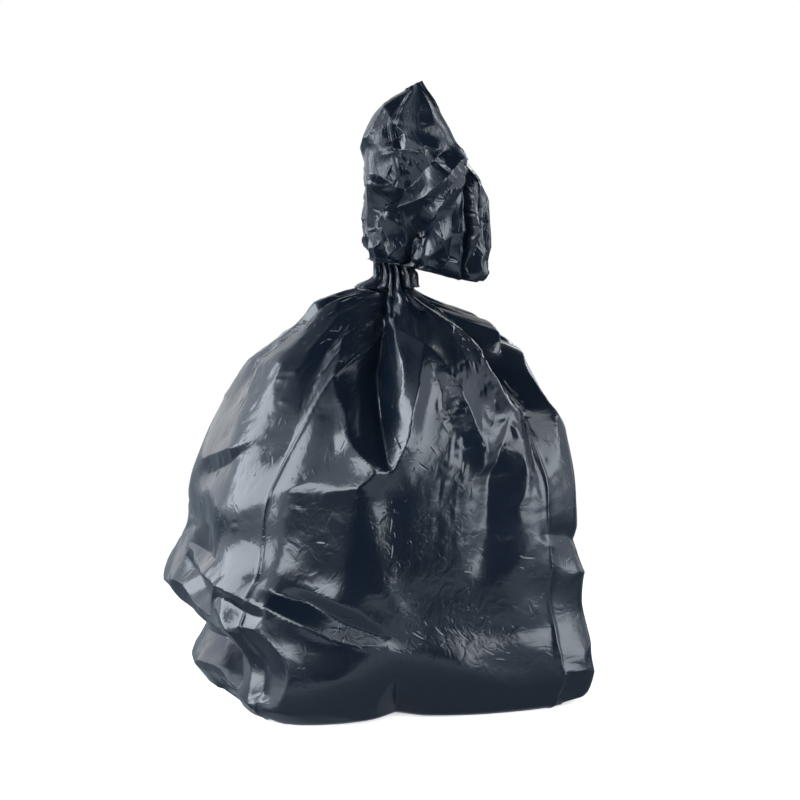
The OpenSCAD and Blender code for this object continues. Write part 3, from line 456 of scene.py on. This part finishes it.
def loose_creases(film, angle, kinds, chance):
    """Heights in mm of scattered creases on the film. Each is a tent over a straight line that bows a
    little: it falls off evenly to both sides, one side steeper, and its width and height taper to the
    two ends. Half are ridges and half are valleys."""
    rows, columns = film.shape[:2]
    row_gap = np.linalg.norm(np.diff(film, axis=0), axis=-1).mean(axis=1)
    row_gap = np.maximum(np.append(row_gap, row_gap[-1]), 0.7)
    girth = np.linalg.norm(np.roll(film, -1, axis=1) - film, axis=-1).sum(axis=1)
    height = np.zeros((rows, columns))
    for count, lowest, highest, middle, spread, short, long, thin, wide, steep, way, sway in kinds:
        for _ in range(count):
            row = int(chance.uniform(lowest, highest) * (rows - 1))
            place = math.radians(middle + spread * chance.uniform(-1, 1))
            half = chance.uniform(short, long) / 2
            width = chance.uniform(thin, wide)
            turn = math.radians(way + sway * chance.uniform(-1, 1))
            bow = chance.uniform(-0.12, 0.12) * half
            lean = chance.uniform(0.5, 1.0)
            lift = width * steep * chance.uniform(0.5, 1.2) * chance.choice([-1, 1])
            reach = math.hypot(half, width)
            more = int(reach / row_gap[row]) + 1
            first = max(0, row - more)
            last = min(rows, row + more + 1)
            per_turn = max(girth[row], 90.0) / (2 * np.pi)
            gap = (angle - place + np.pi) % (2 * np.pi) - np.pi
            near = np.nonzero(np.abs(gap) * per_turn < reach)[0]
            if len(near) == 0:
                continue
            x = (gap[near] * per_turn)[None]
            y = ((np.arange(first, last) - row) * row_gap[row])[:, None]
            s = (x * math.cos(turn) + y * math.sin(turn)) / half
            t = y * math.cos(turn) - x * math.sin(turn) + bow * (1 - s * s)
            t = np.where(t > 0, t / width, -t / (width * lean))
            taper = np.clip(1 - np.abs(s), 0, 1)
            tent = np.clip(1 - t / (0.15 + 0.85 * taper ** 0.7), 0, 1)
            height[first:last, near] += lift * taper ** 0.6 * tent
    return height


def pulled_smooth(film, angle, size):
    """1 where creases stay and less where the film is smooth: a share that falls to a quarter over the
    lower front, which the load pulls tight, as a bell in angle times two ease curves in height, and to
    0.4 and then 0.05 up the crown of the tuft."""
    z = film[..., 2] / size["fill_height"]
    across = np.exp(-((np.degrees(angle)[None] - 290) / 38) ** 2)
    up = ease((z + 0.10) / 0.10) * (1 - ease((z - 0.42) / 0.25))
    part = (film[..., 2] - size["fill_height"] - size["neck_height"]) / size["tuft_height"]
    crown = 0.6 * ease((part - 0.58) / 0.12) + 0.35 * ease((part - 0.84) / 0.08)
    return (1 - 0.75 * across * up) * (1 - crown)


def roll_creases(film, angle, size):
    """Heights in mm of the four sharp lines that the film keeps from lying folded on the roll: a ridge
    that dies away to each side, fading out where the film is gathered. The front left
    one leans towards the neck, by the square of the height above the middle."""
    girth = np.linalg.norm(np.roll(film, -1, axis=1) - film, axis=-1).sum(axis=1)
    turned = angle - math.radians(size["crease_turn"] + FIRST_CREASE)
    z = film[..., 2] / size["fill_height"]
    lean = np.clip((z - 0.5) / 0.43, 0, 1.1) ** 2 * np.clip(np.cos(turned), 0, 1)[None]
    lean = math.radians(CREASE_LEAN) * lean
    gap = np.abs((turned[None] - lean + np.pi / 4) % (np.pi / 2) - np.pi / 4)
    away = gap * girth[:, None] / (2 * np.pi)
    return CREASE_HEIGHT * np.exp(-away / CREASE_WIDTH) * (1 - ease((z - 0.9) / 0.15))


def flat_facets(film, likeness, rounds, steps):
    """Makes the film's panels flat and its creases crisp. Each face's normal becomes the mean of its
    neighbours' weighted by e to the minus half square of their difference over the likeness, at hops of 1
    to 8 faces; then each point moves along its faces' normals until the faces lie square to them."""
    across = np.roll(film[1:], -1, axis=1) - film[:-1]
    back = film[1:] - np.roll(film[:-1], -1, axis=1)
    normal = np.cross(across, back)
    normal /= np.linalg.norm(normal, axis=-1, keepdims=True) + 1e-12
    sharpness = 1 / (2 * likeness * likeness)
    for hop, times in rounds:
        for _ in range(times):
            total = normal.copy()
            for up in (-hop, 0, hop):
                for side in (-hop, 0, hop):
                    if up == 0 and side == 0:
                        continue
                    other = np.roll(normal, (up, side), axis=(0, 1))
                    weight = np.exp(-sharpness * ((other - normal) ** 2).sum(axis=-1))
                    if up > 0:
                        weight[:up] = 0
                    if up < 0:
                        weight[up:] = 0
                    total += other * weight[..., None]
            normal = total / np.linalg.norm(total, axis=-1, keepdims=True)
    moved = film.copy()
    for _ in range(steps):
        corners = [(moved[:-1], slice(0, -1), 0), (np.roll(moved[:-1], -1, axis=1), slice(0, -1), 1),
                   (moved[1:], slice(1, None), 0), (np.roll(moved[1:], -1, axis=1), slice(1, None), 1)]
        centre = sum(c[0] for c in corners) / 4
        level = (normal * centre).sum(axis=-1, keepdims=True)
        step = np.zeros_like(moved)
        shares = np.zeros(moved.shape[:2] + (1,))
        for corner, rows, side in corners:
            push = normal * (level - (normal * corner).sum(axis=-1, keepdims=True))
            step[rows] += np.roll(push, side, axis=1)
            shares[rows] += 1
        moved += 0.9 * step / shares
    return moved


def film_surface(size, first, last, rows, columns, creases, crinkles, likeness, seed, share):
    """The film between two rings in mm, rows upwards by columns round the bag, with its angles and its
    length. Broad creases are raised and flattened into facets first, then fine crinkles likewise. All of
    it fades out where the two pieces of film meet."""
    chance = np.random.default_rng(seed)
    at, length = even_rows(size, first, last, rows)
    angle = column_angles(size, columns)
    smooth = film_rings(size, at, angle)
    share = share * pulled_smooth(smooth, angle, size)
    height = share * loose_creases(smooth, angle, creases, chance)
    film = smooth + point_normals(smooth) * height[..., None]
    film = flat_facets(film, likeness, FACET_ROUNDS, 30)
    height = share * loose_creases(smooth, angle, crinkles, chance)
    film = film + point_normals(film) * height[..., None]
    film = flat_facets(film, CRINKLE_LIKENESS, ((1, 2),), 6)
    film = film + point_normals(film) * roll_creases(film, angle, size)[..., None]
    kept = ease(np.abs(at - NECK_CUT) / 0.5)[:, None, None]
    film = smooth + kept * (film - smooth)
    film[..., 2] = np.maximum(film[..., 2], 0)
    if first == 0:
        film[0, :, 2] = 0
    return film, angle, length


def film_mesh(name, film, angle, start, length):
    """A closed mesh of the film in metres: quads between the rows and a fan over each end, smooth, with
    a UV map of metres round the film and up it."""
    rows, columns = film.shape[:2]
    ends = np.array([film[0].mean(axis=0), film[-1].mean(axis=0)])
    points = np.concatenate([film.reshape(-1, 3), ends]) * MM
    index = np.arange(rows * columns).reshape(rows, columns)
    low = index[:-1]
    high = index[1:]
    quads = np.stack([low, np.roll(low, -1, 1), np.roll(high, -1, 1), high], -1).reshape(-1, 4)
    bottom = np.stack([np.roll(index[0], -1), index[0], np.full(columns, rows * columns)], -1)
    top = np.stack([index[-1], np.roll(index[-1], -1), np.full(columns, rows * columns + 1)], -1)
    mesh = bpy.data.meshes.new(name)
    mesh.from_pydata(points.tolist(), [], quads.tolist() + bottom.tolist() + top.tolist())
    mesh.polygons.foreach_set("use_smooth", np.ones(len(mesh.polygons), bool))
    u = np.append((angle - angle[0]) / (2 * np.pi), 1.0) * MEASURED_GIRTH * MM
    v = np.linspace(start * MM, (start + length) * MM, rows)
    left = np.tile(np.arange(columns), rows - 1)
    row = np.repeat(np.arange(rows - 1), columns)
    quad_uv = [u[left], v[row], u[left + 1], v[row], u[left + 1], v[row + 1], u[left], v[row + 1]]
    centre = (u[:-1] + u[1:]) / 2
    foot = np.full(columns, v[0])
    tip = np.full(columns, v[-1])
    bottom_uv = [u[1:], foot, u[:-1], foot, centre, foot - 0.2]
    top_uv = [u[:-1], tip, u[1:], tip, centre, tip + 0.02]
    layer = mesh.uv_layers.new(name="film")
    layer.data.foreach_set("uv", np.concatenate([
        np.stack(corners, -1).reshape(-1) for corners in (quad_uv, bottom_uv, top_uv)]))
    mesh.update()
    return mesh


def linear(colour):
    """An sRGB hex colour as linear red, green and blue: below 0.04045 a twelfth and a bit, above it the
    2.4th power."""
    parts = [int(colour[k:k + 2], 16) / 255 for k in (1, 3, 5)]
    return [p / 12.92 if p <= 0.04045 else ((p + 0.055) / 1.055) ** 2.4 for p in parts]


def add_node(tree, kind, settings=None, values=None, links=None):
    """Adds a node, with its settings, its input values and what feeds its inputs: a socket, or a node
    whose first output feeds it."""
    node = tree.nodes.new(kind)
    for name, value in (settings or {}).items():
        setattr(node, name, value)
    for name, value in (values or {}).items():
        node.inputs[name].default_value = value
    for name, source in (links or {}).items():
        tree.links.new(getattr(source, "outputs", [source])[0], node.inputs[name])
    return node


def blown_film_material(look):
    """Blue-black blown low-density polyethylene film: smooth and glossy, IOR 1.51, with fine die lines
    along the film and wrinkles where it has been handled. Clean film, so there is no wear beyond them."""
    material = bpy.data.materials.new(FILM_NAME)
    material.use_nodes = True
    tree = material.node_tree
    tree.nodes.clear()
    output = add_node(tree, "ShaderNodeOutputMaterial")
    place = add_node(tree, "ShaderNodeUVMap", {"uv_map": "film"})
    # thickness of the film wanders over about 150 mm, and thin film is a little lighter
    wander = add_node(tree, "ShaderNodeTexNoise", {"noise_dimensions": "2D"},
                      {"Scale": 1 / 0.150, "Detail": 3.0}, {"Vector": place})
    tint = add_node(tree, "ShaderNodeMix", {"data_type": "RGBA"}, {
        "A": (*look.film_dark, 1), "B": (*look.film_light, 1)}, {"Factor": wander})
    gloss = add_node(tree, "ShaderNodeMapRange", {}, {
        "From Min": 0.3, "From Max": 0.7, "To Min": look.roughness - 0.03, "To Max": look.roughness + 0.05},
        {"Value": wander})
    # die lines run up the film, about 3 mm apart and 600 mm long
    stretched = add_node(tree, "ShaderNodeMapping", {}, {"Scale": (1 / 0.003, 1 / 0.600, 1)},
                         {"Vector": place})
    die_lines = add_node(tree, "ShaderNodeTexNoise", {"noise_dimensions": "2D"},
                         {"Scale": 1.0, "Detail": 2.0}, {"Vector": stretched})
    lines = add_node(tree, "ShaderNodeBump", {}, {"Strength": 0.25, "Distance": 0.0001},
                     {"Height": die_lines})
    # the film's skin is not quite flat: soft ripples about 14 mm apart
    ripples = add_node(tree, "ShaderNodeTexNoise", {"noise_dimensions": "2D"},
                       {"Scale": 1 / 0.014, "Detail": 3.0, "Distortion": 0.6}, {"Vector": place})
    bent = add_node(tree, "ShaderNodeBump", {}, {"Strength": 1.0, "Distance": look.ripple_depth},
                    {"Height": ripples, "Normal": lines})
    # each cell of the film carries one short sharp wrinkle, turned and bowed in its own way:
    # 20 mm long and 1.6 mm to a side, and between them 8 mm long and 0.9 mm to a side
    wrinkles = []
    for gap, long, wide, tall in ((0.026, 0.010, 0.0016, 1.0), (0.011, 0.004, 0.0009, 0.5)):
        cell = add_node(tree, "ShaderNodeTexVoronoi", {"voronoi_dimensions": "2D"},
                        {"Scale": 1 / gap, "Randomness": 1.0}, {"Vector": place})
        middle = add_node(tree, "ShaderNodeVectorMath", {"operation": "SUBTRACT"}, {},
                          {0: place, 1: cell.outputs["Position"]})
        chance = add_node(tree, "ShaderNodeSeparateColor", {}, {}, {"Color": cell.outputs["Color"]})
        turn = add_node(tree, "ShaderNodeMath", {"operation": "MULTIPLY"}, {1: 6.28},
                        {0: chance.outputs["Red"]})
        turned = add_node(tree, "ShaderNodeVectorRotate", {"rotation_type": "Z_AXIS"}, {},
                          {"Vector": middle, "Angle": turn})
        side = add_node(tree, "ShaderNodeSeparateXYZ", {}, {}, {"Vector": turned})
        bow = add_node(tree, "ShaderNodeMath", {"operation": "MULTIPLY"}, {},
                       {0: side.outputs["X"], 1: side.outputs["X"]})
        off = add_node(tree, "ShaderNodeMath", {"operation": "MULTIPLY_ADD"}, {1: 0.12 / long},
                       {0: bow, 2: side.outputs["Y"]})
        away = add_node(tree, "ShaderNodeMath", {"operation": "ABSOLUTE"}, {}, {0: off})
        tent = add_node(tree, "ShaderNodeMapRange", {}, {"From Min": wide, "From Max": 0.0}, {"Value": away})
        along = add_node(tree, "ShaderNodeMath", {"operation": "ABSOLUTE"}, {}, {0: side.outputs["X"]})
        ends = add_node(tree, "ShaderNodeMapRange", {"interpolation_type": "SMOOTHSTEP"},
                        {"From Min": long, "From Max": 0.2 * long}, {"Value": along})
        size = add_node(tree, "ShaderNodeMapRange", {}, {"To Min": -tall, "To Max": tall},
                        {"Value": chance.outputs["Green"]})
        dash = add_node(tree, "ShaderNodeMath", {"operation": "MULTIPLY"}, {}, {0: tent, 1: ends})
        wrinkles.append(add_node(tree, "ShaderNodeMath", {"operation": "MULTIPLY"}, {}, {0: dash, 1: size}))
    both = add_node(tree, "ShaderNodeMath", {"operation": "ADD"}, {}, {0: wrinkles[0], 1: wrinkles[1]})
    # they show where the film has been handled, in patches about 70 mm across
    where = add_node(tree, "ShaderNodeTexNoise", {"noise_dimensions": "2D"},
                     {"Scale": 1 / 0.070, "Detail": 2.0}, {"Vector": place})
    handled = add_node(tree, "ShaderNodeMapRange", {"interpolation_type": "SMOOTHSTEP"},
                       {"From Min": 0.42, "From Max": 0.66}, {"Value": where})
    height = add_node(tree, "ShaderNodeMath", {"operation": "MULTIPLY"}, {}, {0: both, 1: handled})
    bump = add_node(tree, "ShaderNodeBump", {}, {"Strength": 1.0, "Distance": look.wrinkle_depth},
                    {"Height": height, "Normal": bent})
    shader = add_node(tree, "ShaderNodeBsdfPrincipled", {}, {"IOR": 1.51, "Metallic": 0.0}, {
        "Base Color": tint.outputs["Result"], "Roughness": gloss, "Normal": bump})
    tree.links.new(shader.outputs["BSDF"], output.inputs["Surface"])
    return material


class BINBAG_PG_sizes(bpy.types.PropertyGroup):
    """Sizes of the filled bag."""
    fill_width: FloatProperty(name="Fill width", description="Width of the full part",
                              default=0.428, unit="LENGTH")
    fill_depth: FloatProperty(name="Fill depth", description="Depth of the full part",
                              default=0.392, unit="LENGTH")
    fill_height: FloatProperty(name="Fill height", description="Floor to the start of the neck",
                               default=0.432, unit="LENGTH")
    crease_turn: FloatProperty(name="Crease turn", description="How far the bag's square is turned",
                               default=math.radians(19), subtype="ANGLE")
    crease_ridge: FloatProperty(name="Corner ridge", description="How far the four corners stand out",
                                default=0.004, unit="LENGTH")
    neck_width: FloatProperty(name="Neck width", description="Width of the neck",
                              default=0.052, unit="LENGTH")
    neck_depth: FloatProperty(name="Neck depth", description="Depth of the neck",
                              default=0.050, unit="LENGTH")
    neck_height: FloatProperty(name="Neck height", description="Height of the neck",
                               default=0.036, unit="LENGTH")
    neck_shift: FloatProperty(name="Neck shift", description="How far right of the middle the neck is",
                              default=0.016, unit="LENGTH")
    tuft_width: FloatProperty(name="Tuft width", description="Width of the loose film",
                              default=0.140, unit="LENGTH")
    tuft_depth: FloatProperty(name="Tuft depth", description="Depth of the loose film",
                              default=0.084, unit="LENGTH")
    tuft_height: FloatProperty(name="Tuft height", description="Height of the loose film",
                               default=0.200, unit="LENGTH")
    gathers: IntProperty(name="Gathers", description="Gathers round the neck", default=15)
    gather_depth: FloatProperty(name="Gather depth", description="Depth of the gathers",
                                default=0.012, unit="LENGTH")


class BINBAG_PG_look(bpy.types.PropertyGroup):
    """Finish of the film."""
    film_dark: FloatVectorProperty(name="Film", description="Colour of the thick film", subtype="COLOR",
                                   size=3, default=linear("#0a1119"))
    film_light: FloatVectorProperty(name="Thin film", description="Colour where the film is thin",
                                    subtype="COLOR", size=3, default=linear("#0f1822"))
    roughness: FloatProperty(name="Roughness", description="Mean roughness of the film", default=0.17,
                             subtype="FACTOR")
    ripple_depth: FloatProperty(name="Ripple depth", description="Height of the film's soft ripples",
                                default=0.0003, unit="LENGTH")
    wrinkle_depth: FloatProperty(name="Wrinkle depth", description="Height of the film's fine sharp wrinkles",
                                 default=0.00045, unit="LENGTH")
    crease_share: FloatProperty(name="Creases", description="Depth of the loose creases, 1 as made",
                                default=1.0, subtype="FACTOR")
    seed: IntProperty(name="Seed", description="Which set of loose creases the film has", default=11)


class BINBAG_PG_studio(bpy.types.PropertyGroup):
    """The plain studio."""
    floor_colour: FloatVectorProperty(name="Floor", description="Colour of the floor", subtype="COLOR",
                                      size=3, default=linear("#f0f0f0"))
    lamp_level: FloatProperty(name="Lamps", description="Strength of all lamps, 1 as set", default=1.0,
                              subtype="FACTOR")
    distance: FloatProperty(name="Camera distance", description="Camera to the bag", default=2.59,
                            unit="LENGTH")
    elevation: FloatProperty(name="Camera elevation", description="Camera above the horizon",
                             default=math.radians(8), subtype="ANGLE")


def sizes_in_mm(group):
    """The size properties as millimetres, the angle in degrees and the count as it is."""
    size = {name: getattr(group, name) / MM for name in group.__annotations__}
    size["crease_turn"] = math.degrees(group.crease_turn)
    size["gathers"] = group.gathers
    return size


def place_film(context, name, rings, grid, creases, crinkles, likeness, seed_step):
    """Adds the film between two rings, centred on the CAD bag by the middle of its box, rides it on the
    body and gives it its finish."""
    size = sizes_in_mm(context.scene.bag_sizes)
    look = context.scene.bag_look
    film, angle, length = film_surface(size, *rings, *grid, creases, crinkles, likeness,
                                       look.seed + seed_step, look.crease_share)
    whole = film_rings(size, np.linspace(0, LAST_RING, 300), np.radians(np.arange(0, 360, 2.0)))
    middle = (whole.max(axis=(0, 1)) + whole.min(axis=(0, 1))) / 2
    low, high = (np.array(c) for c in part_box("bag"))
    film[..., :2] += (low + high)[:2] / 2 / MM - middle[:2]
    start = even_rows(size, 0, max(rings[0], 0.01), 2)[1]
    piece = bpy.data.objects.new(name, film_mesh(name, film, angle, start, length))
    context.scene.collection.objects.link(piece)
    piece.data.materials.append(bpy.data.materials.get(FILM_NAME) or blown_film_material(look))
    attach(piece, "root")
    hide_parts("bag")


class BINBAG_OT_fill(bpy.types.Operator):
    """Makes the film round the full part, from the floor to the neck"""
    bl_idname = "binbag.fill"
    bl_label = "Film round the fill"

    def execute(self, context):
        place_film(context, "bag_fill_film", (0, NECK_CUT + 0.3), FILL_GRID, FILL_CREASES, FILL_CRINKLES,
                   FILL_LIKENESS, 0)
        return {"FINISHED"}


class BINBAG_OT_tuft(bpy.types.Operator):
    """Makes the loose film above the neck"""
    bl_idname = "binbag.tuft"
    bl_label = "Loose tuft"

    def execute(self, context):
        place_film(context, "bag_tuft_film", (NECK_CUT - 0.3, LAST_RING), TUFT_GRID, TUFT_CREASES,
                   TUFT_CRINKLES, TUFT_LIKENESS, 1)
        return {"FINISHED"}


# Softboxes: name, place, what it faces, width, height (all in m), power in W
SOFTBOXES = [
    ["left softbox", (-2.19, -0.12, 1.15), (0.0, 0.0, 0.35), 1.7, 1.6, 58.0],
    ["high right softbox", (0.85, -1.60, 1.72), (0.0, 0.0, 0.30), 0.8, 0.5, 4.0],
    ["tuft softbox", (-0.75, -1.20, 0.635), (0.0, 0.0, 0.60), 0.9, 0.43, 8.5],
    ["right softbox", (1.80, -1.42, 0.92), (0.0, 0.0, 0.30), 1.2, 1.8, 36.0],
    ["front softbox", (-0.25, -2.30, 1.50), (0.0, 0.0, 0.55), 1.3, 0.7, 5.0],
    ["rear softbox", (1.4, 2.0, 1.2), (0.0, 0.0, 0.30), 1.2, 1.4, 20.0],
]
LAMP_WHITE = "#edf7ff"      # the cool white of the softboxes
ROOM_WHITE = "#e7f1ff"      # the walls, and the floor, as glossy film sees them
FLOOR_WHITE = "#dff0ff"
# How bright the room is to glossy film: part, axis of the way, where it starts and where it is full, and
# its level at both.
ROOM_PARTS = [
    ["behind", "Y", 0.45, 0.95, 0.0, 1.0],
    ["left", "X", -0.12, -0.44, 0.0, 1.7],
    ["right", "X", 0.54, 0.76, 0.16, 1.6],
    ["overhead", "Z", 0.60, 0.85, 1.0, 0.2],
    ["front", "Y", -0.50, -0.80, 0.0, 0.85],
    ["low", "Z", 0.26, 0.05, 0.0, 1.0],
]


def seen_rays(tree):
    """1 on camera rays and 0 on others, and the same for glossy and transmission rays."""
    path = add_node(tree, "ShaderNodeLightPath")
    shiny = add_node(tree, "ShaderNodeMath", {"operation": "MAXIMUM"}, {},
                     {0: path.outputs["Is Glossy Ray"], 1: path.outputs["Is Transmission Ray"]})
    return path.outputs["Is Camera Ray"], shiny


class BINBAG_OT_studio(bpy.types.Operator):
    """Makes the white floor and background, the softboxes and the camera"""
    bl_idname = "binbag.studio"
    bl_label = "Studio"

    def execute(self, context):
        scene = context.scene
        studio = scene.bag_studio
        self.floor(scene, studio)
        self.world(scene)
        for name, place, target, width, height, power in SOFTBOXES:
            lamp = bpy.data.lights.new(name, "AREA")
            lamp.shape = "RECTANGLE"
            lamp.size = width
            lamp.size_y = height
            lamp.energy = power * studio.lamp_level
            lamp.color = linear(LAMP_WHITE)
            holder = bpy.data.objects.new(name, lamp)
            holder.location = place
            holder.rotation_euler = (Vector(target) - Vector(place)).to_track_quat("-Z", "Y").to_euler()
            scene.collection.objects.link(holder)
        camera = bpy.data.objects.new("camera", bpy.data.cameras.new("camera"))
        camera.data.lens = 105
        camera.data.sensor_width = 36
        back = Vector((0, -math.cos(studio.elevation), math.sin(studio.elevation)))
        camera.location = VIEW_MIDDLE + back * studio.distance
        camera.rotation_euler = (-back).to_track_quat("-Z", "Y").to_euler()
        scene.collection.objects.link(camera)
        scene.camera = camera
        scene.view_settings.view_transform = "Standard"
        return {"FINISHED"}

    def floor(self, scene, studio):
        """A sheet of white paper that ends a metre in front of the bag. It keeps the bag's shadow near the
        bag and turns to plain white for the camera further out. Glossy film sees it bright in front on
        the left, dimmer on the right and dark beside and behind the bag."""
        points = [(-3.0, -1.0, 0.0), (3.0, -1.0, 0.0), (3.0, 5.0, 0.0), (-3.0, 5.0, 0.0)]
        mesh = bpy.data.meshes.new("floor")
        mesh.from_pydata(points, [], [[0, 1, 2, 3]])
        floor = bpy.data.objects.new("floor", mesh)
        scene.collection.objects.link(floor)
        material = bpy.data.materials.new("white paper")
        material.use_nodes = True
        tree = material.node_tree
        tree.nodes.clear()
        output = add_node(tree, "ShaderNodeOutputMaterial")
        camera_ray, shiny_ray = seen_rays(tree)
        place = add_node(tree, "ShaderNodeTexCoord").outputs["Object"]
        far = add_node(tree, "ShaderNodeVectorMath", {"operation": "LENGTH"}, {}, {0: place})
        away = add_node(tree, "ShaderNodeMapRange", {"interpolation_type": "SMOOTHSTEP"},
                        {"From Min": 0.30, "From Max": 0.75}, {"Value": far.outputs["Value"]})
        paint = add_node(tree, "ShaderNodeBsdfDiffuse", {}, {"Color": (*studio.floor_colour, 1)})
        glow = add_node(tree, "ShaderNodeEmission", {}, {"Color": (1, 1, 1, 1), "Strength": 0.62})
        lit = add_node(tree, "ShaderNodeAddShader", {}, {}, {0: paint, 1: glow})
        white = add_node(tree, "ShaderNodeEmission", {}, {"Color": (1, 1, 1, 1), "Strength": 1.0})
        near = add_node(tree, "ShaderNodeMixShader", {}, {}, {0: away, 1: lit, 2: white})
        seen = add_node(tree, "ShaderNodeMixShader", {}, {}, {0: camera_ray, 1: paint, 2: near})
        aside = add_node(tree, "ShaderNodeSeparateXYZ", {}, {}, {0: place})
        fading = add_node(tree, "ShaderNodeMapRange", {}, {
            "From Min": -0.3, "From Max": 0.5, "To Min": 1.4, "To Max": 0.95}, {"Value": aside.outputs["X"]})
        beside = add_node(tree, "ShaderNodeMapRange", {"interpolation_type": "SMOOTHSTEP"}, {
            "From Min": -0.6, "From Max": -0.2, "To Min": 1.0, "To Max": 0.3}, {"Value": aside.outputs["Y"]})
        level = add_node(tree, "ShaderNodeMath", {"operation": "MULTIPLY"}, {}, {0: fading, 1: beside})
        mirrored = add_node(tree, "ShaderNodeEmission", {}, {"Color": (*linear(FLOOR_WHITE), 1)},
                            {"Strength": level})
        both = add_node(tree, "ShaderNodeMixShader", {}, {}, {0: shiny_ray, 1: seen, 2: mirrored})
        tree.links.new(both.outputs["Shader"], output.inputs["Surface"])
        mesh.materials.append(material)

    def world(self, scene):
        """White to the camera. Glossy film sees some of that white behind the bag. In front of it the room
        is dark, with pale walls to the left and right that fade overhead and at the front's horizon."""
        world = bpy.data.worlds.new("studio")
        world.use_nodes = True
        scene.world = world
        tree = world.node_tree
        tree.nodes.clear()
        output = add_node(tree, "ShaderNodeOutputWorld")
        camera_ray, shiny_ray = seen_rays(tree)
        way = add_node(tree, "ShaderNodeSeparateXYZ", {}, {}, {
            0: add_node(tree, "ShaderNodeTexCoord").outputs["Generated"]})
        part = {name: add_node(tree, "ShaderNodeMapRange", {"interpolation_type": "SMOOTHSTEP"}, {
            "From Min": start, "From Max": full, "To Min": least, "To Max": most},
            {"Value": way.outputs[axis]}) for name, axis, start, full, least, most in ROOM_PARTS}
        shiny = add_node(tree, "ShaderNodeMath", {"operation": "MULTIPLY"}, {},
                         {0: shiny_ray, 1: part["behind"]})
        shiny = add_node(tree, "ShaderNodeMath", {"operation": "MULTIPLY"}, {1: 0.8}, {0: shiny})
        seen = add_node(tree, "ShaderNodeMath", {"operation": "MAXIMUM"}, {}, {0: camera_ray, 1: shiny})
        level = add_node(tree, "ShaderNodeMath", {"operation": "ADD"}, {},
                         {0: part["left"], 1: part["right"]})
        horizon = add_node(tree, "ShaderNodeMath", {"operation": "MULTIPLY"}, {},
                           {0: part["front"], 1: part["low"]})
        above = add_node(tree, "ShaderNodeMath", {"operation": "SUBTRACT"}, {0: 1.0}, {1: horizon})
        for share in (part["overhead"], above):
            level = add_node(tree, "ShaderNodeMath", {"operation": "MULTIPLY"}, {}, {0: level, 1: share})
        room = add_node(tree, "ShaderNodeBackground", {}, {"Color": (*linear(ROOM_WHITE), 1)},
                        {"Strength": level})
        white = add_node(tree, "ShaderNodeBackground", {}, {"Color": (1, 1, 1, 1), "Strength": 1.0})
        mixed = add_node(tree, "ShaderNodeMixShader", {}, {}, {0: seen, 1: room, 2: white})
        tree.links.new(mixed.outputs["Shader"], output.inputs["Surface"])


class BINBAG_PT_panel(bpy.types.Panel):
    """Lists what the add-on makes"""
    bl_idname = "BINBAG_PT_panel"
    bl_label = "Filled bin bag"
    bl_space_type = "VIEW_3D"
    bl_region_type = "UI"
    bl_category = "Bin bag"

    def draw(self, context):
        scene = context.scene
        for group, operator in ((scene.bag_sizes, "binbag.fill"), (scene.bag_look, "binbag.tuft"),
                                (scene.bag_studio, "binbag.studio")):
            box = self.layout.box()
            for name in group.__annotations__:
                box.prop(group, name)
            box.operator(operator)


CLASSES = (BINBAG_PG_sizes, BINBAG_PG_look, BINBAG_PG_studio, BINBAG_OT_fill, BINBAG_OT_tuft,
           BINBAG_OT_studio, BINBAG_PT_panel)


def register():
    for item in CLASSES:
        bpy.utils.register_class(item)
    bpy.types.Scene.bag_sizes = PointerProperty(type=BINBAG_PG_sizes)
    bpy.types.Scene.bag_look = PointerProperty(type=BINBAG_PG_look)
    bpy.types.Scene.bag_studio = PointerProperty(type=BINBAG_PG_studio)


def unregister():
    del bpy.types.Scene.bag_studio
    del bpy.types.Scene.bag_look
    del bpy.types.Scene.bag_sizes
    for item in reversed(CLASSES):
        bpy.utils.unregister_class(item)


def main():
    register()
    for operator in (bpy.ops.binbag.fill, bpy.ops.binbag.tuft, bpy.ops.binbag.studio):
        if operator() != {"FINISHED"}:
            raise RuntimeError("an operator did not finish")


if __name__ == "__main__":
    main()
